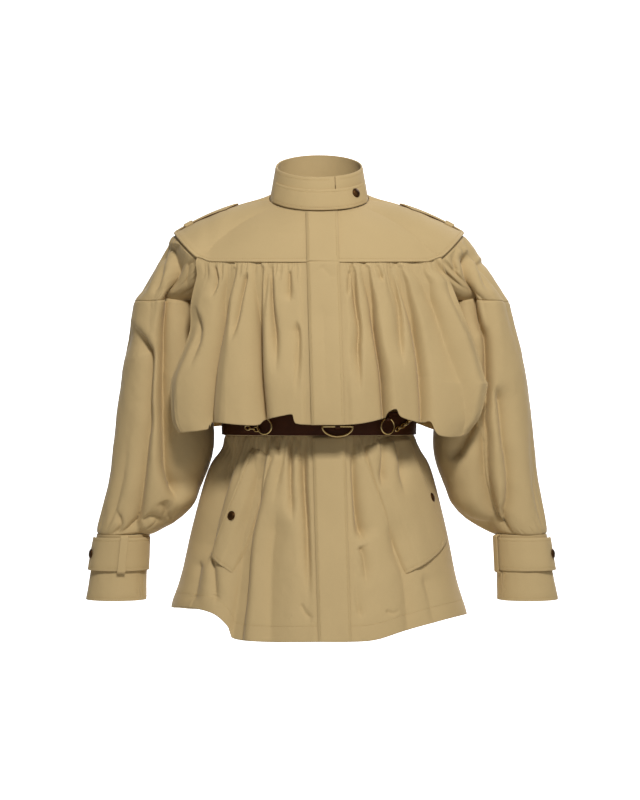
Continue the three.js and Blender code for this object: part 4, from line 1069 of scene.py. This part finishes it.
def plackets():
    on = lambda row_at: lambda x, t: panel_point(row_at, FRONT, share_at(row_at, x, t), t)

    def on_yoke(x, t):
        s = share_where(lambda share: yoke_point(FRONT, share, t)[..., 0], np.abs(x) + 0 * t, 0, SEAM_CORNER)
        return yoke_point(FRONT, np.sign(x) * s, t)

    zones = {
        "yoke": (on_yoke, 0.04, 1.0, 50, "coat_body", "yoke"),
        "chest": (on(flounce_row), -0.012, 0.998, 130, "coat_body", "flounce"),
        "peplum": (on(peplum_row), 0.01, 0.995, 150, "fly_placket", "peplum"),
    }
    for name, (point_at, top, foot, rows, body, under) in zones.items():
        sheet = placket_sheet(point_at, top, foot, rows)
        sheet.raised(tumble(sheet.across, sheet.down, 91 + rows, 0.5))
        if name == "yoke":
            seam_drop(sheet, ease((sheet.v - 0.5) / 0.5))
        if name == "chest":
            seam_drop(sheet, 1 - ease(sheet.v / 0.3))
            press, _ = pressed(sheet, [([(3, -90), (23, -116)], 1.6, (4, 4)), ([(6, -150), (10, -300)], 2.0, (7, 9))])
            sheet.raised(ease(sheet.down / 120) * 1.5 - press - 1.4 * ease((5 - sheet.down) / 5))
            follow(sheet, FLOUNCE_HEMS["left"], ease((sheet.v - 0.5) / 0.5), 1)
        if name == "peplum":
            follow(sheet, PEPLUM_HEMS["left"], ease((sheet.v - 0.5) / 0.5), 1)
        sheet.raised(stitched(sheet, 4.0, "lr", 0.25, 0.8))
        cloth(f"placket_{name}", sheet, body, 1.0, 0.3)
        seam_row(sheet, 4.0, "lr", body)


# ---------- belt ----------
def waist_ring(by, low=0.0, high=1.0):
    def surface(u, v):
        quarters = 4 * u
        face_front = (quarters < 1) | (quarters > 3)
        share = np.abs(2 - np.abs(2 - quarters)) % 2
        share = np.where(share > 1, 2 - share, share) * np.where(quarters <= 2, 1, -1)
        t = mix(low, high, v)
        p = np.where(
            face_front[..., None], panel_point(waist_row, FRONT, share, t), panel_point(waist_row, BACK, share, t)
        )
        return lifted(p, by)

    return surface


def waist():
    sheet = Tube(waist_ring(CLOTH), 200, 16)
    cloth("waistband", sheet, "coat_body", 2.2, 0)
    margin = 1.0 / BAND_HIGH
    sheet = Tube(waist_ring(CLOTH + LAYER_GAP + BELT_THICK, margin, 1 - margin), 240, 20)
    sheet.raised(rolled_rows(sheet))
    cloth("belt", sheet, "coat_body", BELT_THICK, 0.8, finish=HIDE)


def rolled_rows(sheet):
    """A pressed line near each long edge of the belt."""
    edge = np.minimum(sheet.down, sheet.down[-1:] - sheet.down)
    return -0.35 * np.exp(-(((edge - 3.5) / 0.7) ** 2))


# ---------- shoulders ----------
def shoulder_point(x, y, by):
    """A point over the wearer's left shoulder, found from its place in plan."""

    def at(s, t):
        front, back = yoke_point(FRONT, s, t), yoke_point(BACK, s, t)
        return np.where((y < 0)[..., None], front, back)

    t, s = np.full(x.shape, 0.5), np.ones(x.shape)
    for _ in range(4):
        t = share_where(lambda down: at(s, down)[..., 0], x, 0, 1)
        s = share_where(lambda share: -np.abs(at(share, t)[..., 1]), -np.abs(y), 0.3, 1)
    return lifted(at(s, t), by)


def epaulettes():
    for name, side in SIDES.items():

        def strap(u, v):
            x = mix(*EPAULETTE_ENDS, u)
            long = EPAULETTE_ENDS[0] - EPAULETTE_ENDS[1]
            half = np.maximum(EPAULETTE_HALF * np.minimum(1, (1 - u) * long / EPAULETTE_POINT), 1.0)
            return mirrored(shoulder_point(x, (2 * v - 1) * half, CLOTH + LAYER_GAP + CLOTH), side)

        sheet = Sheet(strap, 70, 30)
        sheet.raised(rolled(sheet, 0.6) + stitched(sheet, 4.0, "tb", 0.3))
        body, below = f"epaulette_strap_{name}", [f"yoke_front_{name}"]
        made = cloth(f"epaulette_{name}", sheet, body, STRAP_THICK, 0.6)
        # Painted shade: a dark leather sheet just under the strap and a little wider than it, so that its edge shows
        # as the dark line of shade along the strap's underside.
        back = Sheet(lambda u, v: strap(u, 0.5 + (v - 0.5) * 1.05), 70, 30)
        back.raised(-1.5)
        cloth(f"epaulette_backing_{name}", back, body, 1.2, 0.4, HIDE, node=False)
        seam_row(sheet, 4.0, "tb", body)

        def keeper(u, v):
            y = mix(-KEEPER_REACH, KEEPER_REACH, v)
            arch = ease((KEEPER_REACH - np.abs(y)) / 2.5)
            x = EPAULETTE_KEEPER + KEEPER_HALF * (2 * u - 1)
            return mirrored(shoulder_point(x, y, CLOTH + 1.6 + arch * 4.2), side)

        sheet = Sheet(keeper, 10, 60)
        cloth(f"epaulette_keeper_{name}", sheet, body, 1.4, 0.4)


# ---------- sleeves ----------
SLEEVE_FOLDS = {
    "right": [
        ([(-275, -175), (-258, -206), (-248, -223), (-249, -261), (-250, -290), (-249, -319), (-253, -355),
          (-257, -406), (-259, -435), (-262, -471), (-267, -489)], 11, (11, 4), (0.1, 0)),
        ([(-212, -62), (-215, -87), (-217, -119), (-220, -152), (-225, -171), (-228, -196), (-228, -210),
          (-229, -283), (-226, -355), (-222, -392), (-210, -421), (-197, -442)], 14, (4, 16), (0.03, 0.1)),
        ([(-256, -471), (-244, -461), (-230, -464), (-216, -470)], 5, (4, 4), (0.1, 0.3)),
        ([(-226, -435), (-218, -457), (-213, -467)], 4, (5, 5)),
        ([(-299, -442), (-290, -464), (-289, -474), (-297, -487)], 5, (3, 3), (0.3, 0)),
        ([(-273, -465), (-268, -487)], 4, (3, 3), (0.3, 0)),
        ([(-225, -66), (-235, -112), (-243, -142)], 6, (3, 4), (0, 0.4)),
        ([(-191, -80), (-191, -113), (-188, -148)], 5, (3, 3), (0, 0.4)),
        ([(-240, -90), (-252, -120), (-262, -150)], 4, (3, 4), (0.1, 0.5)),
    ],
    "left": [
        ([(216, -70), (220, -110), (223, -152), (232, -181), (242, -203), (244, -261), (244, -290), (242, -319),
          (245, -348), (245, -392), (248, -421), (252, -442), (258, -464), (261, -482)], 12, (7, 3.5),
          (0.03, 0)),
        ([(231, -300), (238, -350), (239, -403), (245, -435), (254, -476)], 12, (16, 3), (0.3, 0)),
        ([(255, -265), (264, -287), (267, -312), (270, -348), (275, -377), (277, -406), (275, -435),
          (268, -457), (267, -482)], 9, (4, 7), (0.15, 0)),
        ([(228, -316), (210, -342), (186, -381)], 10, (6, 9), (0.2, 0.2)),
        ([(194, -74), (201, -115)], 6, (3, 4), (0, 0.4)),
        ([(232, -86), (240, -115), (250, -140)], 4, (3, 4), (0.1, 0.5)),
    ],
}


def sleeve_sheet(name, side):
    """The head and the sleeve as one lattice: v runs from 0 to 1 over the head and on to 2 over the sleeve.
    Its two ends run on a little, to be tucked under the yoke and into the cuff."""
    top, foot = SLEEVE_RINGS[0, 0], SLEEVE_RINGS[-1, 0]

    def surface(u, v):
        degrees = mix(-180, 180, u)
        head = mix(head_point(degrees), sleeve_point(name, degrees, top + 0 * u), np.clip(v, -0.1, 1)[..., None])
        low = sleeve_point(name, degrees, mix(top, foot, np.clip(v - 1, 0, 1.012)))
        return mirrored(np.where((v <= 1)[..., None], head, low), side)

    rows = np.concatenate([[-0.09, -0.045], np.linspace(0, 1, 57)[:-1], np.linspace(1, 2.012, 171)])
    sheet = Tube(lambda u, v: surface(u, np.interp(v, np.linspace(0, 1, len(rows)), rows)), 210, len(rows) - 1)
    return sheet, 58


def sleeves():
    for name, side in SIDES.items():
        sheet, seam_at = sleeve_sheet(name, side)
        front = ease((SLEEVE_CENTRE_Y + 12 - sheet.base[..., 1]) / 22)
        press, push = pressed(sheet, SLEEVE_FOLDS[name])
        degrees = mix(-180, 180, sheet.u)
        down = np.maximum(sheet.down - sheet.down[2:3], 0)
        whole = sheet.across[seam_at, -1]
        around = sheet.u * whole
        out = ease((150 - np.abs(degrees)) / 30)
        head = gathers(around, down, 1.0 + 0 * down, 101 + side, 20, whole - 20, 9.0, 5.5, (25, 90), 0.3, (90, 260))
        head = np.minimum(head, 1.0 + down * 0.25)
        up = np.maximum(down[-1:] - 4 - down, 0)
        foot = gathers(around, up, 1.0 + 0 * down, 111 + side, 20, whole - 20, 14.0, 5.5, (20, 70), 0.3, (90, 240))
        foot = np.minimum(foot, 0.8 + up * 0.3) * mix(1.0, 0.45, front)
        mild = np.sqrt((head * mix(1.0, 0.55, front * ease((down - 30) / 40))) ** 2 + foot**2) * out
        press = np.minimum(press * 1.8, 1.0 + np.minimum(down, up) * 0.7) * front
        folds = np.sqrt(press**2 + mild**2)
        rise = puff(down, 5.0, 9, 60) + puff(up, 5.0, 10, 30)
        tuck = 1.8 * ease((0.5 - down) / 0.5) + 3.0 * ease((0.5 - up) / 0.5)
        sheet.raised(rise - folds - tuck + tumble(around, down, 121 + side, 1.2) * ease(up / 20))
        sheet.at[..., 0] += push * front
        upper, lower = slice(0, seam_at + 1), slice(seam_at, None)
        groove = -0.9 * np.exp(-(((down - down[seam_at]) / 1.3) ** 2))
        sheet.raised(groove)
        cap = cloth(f"sleeve_cap_{name}", sheet, None, 0.8, rows=upper)
        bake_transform(cap)
        cloth(f"sleeve_{name}", sheet, f"arm_{name}", 0.8, 0, rows=lower)


def cuffs():
    for name, side in SIDES.items():

        def placed(degrees, t, by):
            return mirrored(cuff_point(name, degrees, t, by), side)

        slit = (CUFF_SLIT_DEG + 0.6, CUFF_SLIT_DEG + 359.4)
        sheet = Sheet(lambda u, v: placed(mix(*slit, u), v, 0.0), 160, 50)
        sheet.raised(rolled_cuff(sheet) + tumble(sheet.across, sheet.down, 131 + side, 1.0))
        sheet.raised(stitched(sheet, 5.0, "blr", 0.3))
        cloth(f"cuff_{name}", sheet, f"arm_{name}", 2.0, 0.6)
        seam_row(sheet, 5.0, "blr", f"arm_{name}")

        high, low = STRAP_BELOW / CUFF_LONG, (STRAP_BELOW + STRAP_WIDE) / CUFF_LONG
        sheet = Sheet(lambda u, v: placed(mix(*STRAP_DEG, u), mix(high, low, v), strap_lift(u)), 150, 44)
        sheet.raised(rolled(sheet, 0.6) + stitched(sheet, 5.0, "tbr", 0.3))
        sheet.raised(tumble(sheet.across, sheet.down, 141 + side, 0.4))
        cloth(f"cuff_strap_{name}", sheet, f"wrist_strap_{name}", STRAP_THICK, 0.6)
        seam_row(sheet, 5.0, "tbr", f"wrist_strap_{name}")

        def keeper(u, v):
            middle, reach = STRAP_BELOW + STRAP_WIDE / 2, STRAP_WIDE / 2 + 3.0
            y = mix(-reach, reach, v)
            arch = ease((reach - np.abs(y)) / 2.5)
            degrees = STRAP_KEEPER_DEG[name] + 7.2 * (2 * u - 1)
            return placed(degrees, (middle + y) / CUFF_LONG, 2.0 + 3.6 * arch)

        sheet = Sheet(keeper, 10, 70)
        cloth(f"cuff_keeper_{name}", sheet, f"wrist_strap_{name}", 1.3, 0.4)


def rolled_cuff(sheet):
    """The cuff is drawn in a little under its strap and stands out below it."""
    under = np.exp(-(((sheet.down - 30) / 22) ** 2))
    return -0.8 * under + 1.0 * ease((sheet.v - 0.65) / 0.35)


# ---------- snaps, buttons, rings and chain ----------
def spun(bm, outline, axis, steps):
    """Spins an outline right round an axis through the origin, closed and facing outwards."""
    bmesh.ops.spin(bm, geom=outline, cent=(0, 0, 0), axis=axis, angle=2 * math.pi, steps=steps, use_merge=True)
    bmesh.ops.remove_doubles(bm, verts=bm.verts, dist=1e-6)
    bmesh.ops.recalc_face_normals(bm, faces=bm.faces)


def turned(profile, segments=40):
    """A turned solid on +Z from a profile of radius and height, in millimetres."""
    bm = bmesh.new()
    verts = [bm.verts.new((r * MM, 0, h * MM)) for r, h in profile]
    edges = [bm.edges.new(pair) for pair in zip(verts, verts[1:])]
    spun(bm, verts + edges, (0, 0, 1), segments)
    return bm


def seat_of(name, away):
    """The foot and the direction of a turned fitting in the frame."""
    co = np.array([v.co for v in frame["nodes"][name].data.vertices])
    middle = co.mean(0)
    _, _, axes = np.linalg.svd(co - middle, full_matrices=False)
    axis = axes[2] * np.sign(axes[2] @ (middle - np.array(away)))
    reach = (co - middle) @ axis
    return middle + axis * reach.min(), axis


def fitting(name, profile, body, material, slot, away, raise_mm=0.0, seat=None):
    foot, axis = seat or seat_of(name, away)
    bm = turned(profile)
    turn = Vector(axis).to_track_quat("Z", "Y").to_matrix().to_4x4()
    place = Vector(foot + axis * raise_mm * MM)
    bmesh.ops.transform(bm, matrix=Matrix.Translation(place) @ turn, verts=bm.verts)
    made = new_object(f"{name}_turned", finish_mesh(bm, name), material, slot, body)
    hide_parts(name)
    return made


CAP_PROFILE = [(0, -0.6), (6.0, -0.6), (6.6, -0.2), (6.7, 0.5), (6.5, 1.0), (6.1, 1.25), (5.5, 1.3),
    (5.2, 1.45), (4.6, 1.95), (3.2, 2.3), (1.5, 2.45), (0, 2.5)]
STUD_PROFILE = [(0, -0.4), (4.0, -0.4), (4.2, 0.2), (3.6, 0.6), (2.4, 0.7), (2.2, 1.2), (1.6, 1.45), (0, 1.5)]
BUTTON_PROFILE = [(0, -0.2), (6.9, -0.2), (7.5, 0.4), (7.4, 1.2), (6.7, 1.6), (5.6, 1.5), (5.0, 1.0),
    (3.0, 0.85), (0, 0.85)]


def beneath(foot, axis):
    """The seat of a stud on the cloth below a strap's cap."""
    return foot - axis * (CLOTH + LAYER_GAP + STUD_ROOM + 0.6) * MM, axis


def fittings():
    bronze = (BRONZE, "bronze_snap")
    fitting("collar_snap_cap", CAP_PROFILE, "throat_tab", *bronze, None, 0.1, snap_seats["collar"])
    fitting("collar_snap_stud", STUD_PROFILE, "coat_body", *bronze, None, 0.0, beneath(*snap_seats["collar"]))
    for name, side in SIDES.items():
        wrist = (side * 0.295, 0.005, -0.51)
        fitting(f"cuff_snap_cap_{name}", CAP_PROFILE, f"wrist_strap_{name}", *bronze, wrist, 0.4)
        fitting(f"cuff_snap_stud_{name}", STUD_PROFILE, f"arm_{name}", *bronze, wrist)
        seat = snap_seats[name]
        fitting(f"pocket_snap_cap_{name}", CAP_PROFILE, f"pocket_flap_{name}", *bronze, None, 0.1, seat)
        fitting(f"pocket_snap_stud_{name}", STUD_PROFILE, "coat_body", *bronze, None, 0.0, beneath(*seat))
    for name in ("fly_button_chest_1", "fly_button_peplum_1", "fly_button_peplum_2"):
        fitting(name, BUTTON_PROFILE, "coat_body", HORN, "horn_button", (0, 0, -0.4))


def wire(name, path, thick, body, place, node_name=None):
    """A closed wire along a path of points, in millimetres, moved to its place."""
    curve = bpy.data.curves.new(name, "CURVE")
    curve.dimensions = "3D"
    curve.bevel_depth = thick * MM
    curve.bevel_resolution = 4
    spline = curve.splines.new("POLY")
    spline.points.add(len(path) - 1)
    for target, p in zip(spline.points, path):
        target.co = (*(np.array(p) * MM), 1)
    spline.use_cyclic_u = True
    holder = bpy.data.objects.new(f"{name}_line", curve)
    bpy.context.scene.collection.objects.link(holder)
    mesh = bpy.data.meshes.new_from_object(holder.evaluated_get(bpy.context.evaluated_depsgraph_get()))
    bpy.data.objects.remove(holder)
    mesh.transform(place)
    made = new_object(name, mesh, BRASS, "pale_brass", body)
    if node_name:
        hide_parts(node_name)
    return made


def ring_place(joint):
    """Where a hanging ring's own axes lie: X along its wire's top, Z up."""
    x = -Vector(joint["axis"])
    y = Vector((0, 0, 1)).cross(x)
    turn = Matrix((x, y, (0, 0, 1))).transposed().to_4x4()
    return Matrix.Translation(Vector(joint["pos_m"])) @ turn


def oval(wide, high, count=40):
    turns = np.linspace(0, 2 * math.pi, count, endpoint=False)
    return [(wide * math.sin(a), 0, high * math.cos(a)) for a in turns]


def dee_path():
    bar = [(x, 0, 0) for x in np.linspace(1 - DEE_HALF, DEE_HALF - 1, 16)]
    turns = np.linspace(0.06, math.pi - 0.06, 30)
    return bar + [(DEE_HALF * math.cos(a), 0, -DEE_DROP * math.sin(a)) for a in turns]


def belt_point(x, drop, by):
    t = np.array((drop - BODICE_FOOT) / BAND_HIGH)
    return lifted(panel_point(waist_row, FRONT, share_at(waist_row, np.array(float(x)), t), t), by)


def rings():
    joints = {j["name"]: j for j in frame["joints"]}
    for name in SIDES:
        place = ring_place(joints[f"belt_ring_{name}_swing"])
        path = [(x, 0, z - RING_HALF) for x, _, z in oval(RING_HALF, RING_HALF, 64)]
        wire(f"ring_{name}_wire", path, RING_WIRE, f"belt_ring_{name}", place, f"ring_{name}")
        carrier(name, place, RING_WIRE + 0.8)
    place = ring_place(joints["dee_ring_swing"])
    wire("ring_centre_wire", dee_path(), DEE_WIRE, "dee_ring", place, "ring_centre")
    carrier("centre", place, DEE_WIRE + 0.9)


def carrier(name, place, bore):
    """A short rolled leather loop round a ring's wire."""
    bm = bmesh.new()
    outer = bore + 1.6
    face = [(bore, 3), (bore + 0.4, 3.3), (outer - 0.4, 3.3), (outer, 3)]
    section = [(bore, -3), *face, *((r, -x) for r, x in face[:0:-1])]
    verts = [bm.verts.new((x * MM, 0, r * MM)) for r, x in section]
    edges = [bm.edges.new((a, b)) for a, b in zip(verts, verts[1:] + verts[:1])]
    spun(bm, verts + edges, (1, 0, 0), 28)
    bmesh.ops.transform(bm, matrix=place, verts=bm.verts)
    made = new_object(f"ring_carrier_{name}_loop", finish_mesh(bm, name), *HIDE, "coat_body")
    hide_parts(f"ring_carrier_{name}")


def chain(name, stops):
    """Interlocked oval links along a run over the belt's face."""
    run = np.array([belt_point(x, drop, CLOTH + LAYER_GAP + BELT_THICK + CHAIN_GAP) for x, drop in stops])
    length = np.concatenate([[0], np.cumsum(np.linalg.norm(np.diff(run, axis=0), axis=1))])
    count = max(2, int(length[-1] / LINK_PITCH) + 1)
    at = np.array([[np.interp(s, length, run[:, c]) for c in range(3)] for s in np.linspace(0, length[-1], count)])
    bm = bmesh.new()
    for k, middle in enumerate(at):
        along = Vector(at[min(k + 1, count - 1)] - at[max(k - 1, 0)]).normalized()
        out = Vector(outwards(middle[None])[0])
        out = (out - along * out.dot(along)).normalized()
        flat = k % 2 == 0
        x = out.cross(along).normalized() if flat else out
        y = along.cross(x)
        turn = Matrix((x, y, along)).transposed().to_4x4()
        place = Matrix.Translation(Vector(middle) * MM) @ turn
        link = wire(f"{name}_link", oval(LINK_WIDE, LINK_HIGH, 20), LINK_WIRE, None, place)
        bm.from_mesh(link.data)
        bpy.data.objects.remove(link)
    made = new_object(f"{name}_links", finish_mesh(bm, name), BRASS, "pale_brass", "coat_body")
    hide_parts(name)


def chains():
    """Two short runs: one rises from the left ring, and one lies beside the right ring."""
    chain("chain_left", [(104.3, 331.4), (116.15, 324.26), (130, 311)])
    chain("chain_right", [(-82.3, 331.4), (-94.3, 329.4)])


# ---------- studio ----------
def panel(name, wide, high, place, turn, material):
    bm = bmesh.new()
    bmesh.ops.create_grid(bm, x_segments=1, y_segments=1, size=0.5)
    move = Matrix.Translation(place) @ Matrix.Rotation(turn, 4, "X") @ Matrix.Diagonal((wide, high, 1, 1))
    bmesh.ops.transform(bm, matrix=move, verts=bm.verts)
    made = bpy.data.objects.new(name, finish_mesh(bm, name))
    bpy.context.scene.collection.objects.link(made)
    made.data.materials.append(material)


def studio():
    """A pale floor, a bright white wall behind, two soft lights and the eye in front of the coat."""
    paper, _, surface = new_material("white_paper", Roughness=0.9)
    surface.inputs["Base Color"].default_value = colour("#f2f1ee")
    wall_paint, _, surface = new_material("white_wall", Roughness=0.9)
    surface.inputs["Base Color"].default_value = colour("#ffffff")
    surface.inputs["Emission Color"].default_value = colour("#ffffff")
    surface.inputs["Emission Strength"].default_value = 1.0
    panel("floor", 12.0, 12.0, (0, 0, -1.6), 0.0, paper)
    panel("back_wall", 4.4, 4.4, (0, 2.6, 0.55), math.pi / 2, wall_paint)

    world = bpy.data.worlds.new("soft_room")
    world.use_nodes = True
    world.node_tree.nodes["Background"].inputs["Color"].default_value = colour("#ffffff")
    world.node_tree.nodes["Background"].inputs["Strength"].default_value = 0.17
    bpy.context.scene.world = world
    bpy.context.scene.view_settings.view_transform = "Standard"
    lamps = (
        ("key", (0.3, -2.4, 1.8), 0.5, 78.0),
        ("side", (2.6, -1.4, 0.7), 0.8, 7.0),
        ("back", (1.5, 2.0, 1.8), 1.4, 30.0),
    )
    for name, place, size, power in lamps:
        data = bpy.data.lights.new(name, "AREA")
        data.size, data.energy = size, power
        lamp = bpy.data.objects.new(name, data)
        bpy.context.scene.collection.objects.link(lamp)
        lamp.location = place
        lamp.rotation_euler = (Vector((0, 0, -0.3)) - Vector(place)).to_track_quat("-Z", "Y").to_euler()

    data = bpy.data.cameras.new("eye")
    data.sensor_width, data.lens = 36.0, 99.3
    eye = bpy.data.objects.new("eye", data)
    bpy.context.scene.collection.objects.link(eye)
    eye.location = (1.45 * MM, -EYE_AWAY * MM, -EYE_DROP * MM)
    eye.rotation_euler = (math.pi / 2, 0, 0)
    bpy.context.scene.camera = eye


yokes()
collar()
bodice()
flounces()
peplums()
pockets()
plackets()
waist()
epaulettes()
sleeves()
cuffs()
fittings()
rings()
chains()
sew()
studio()
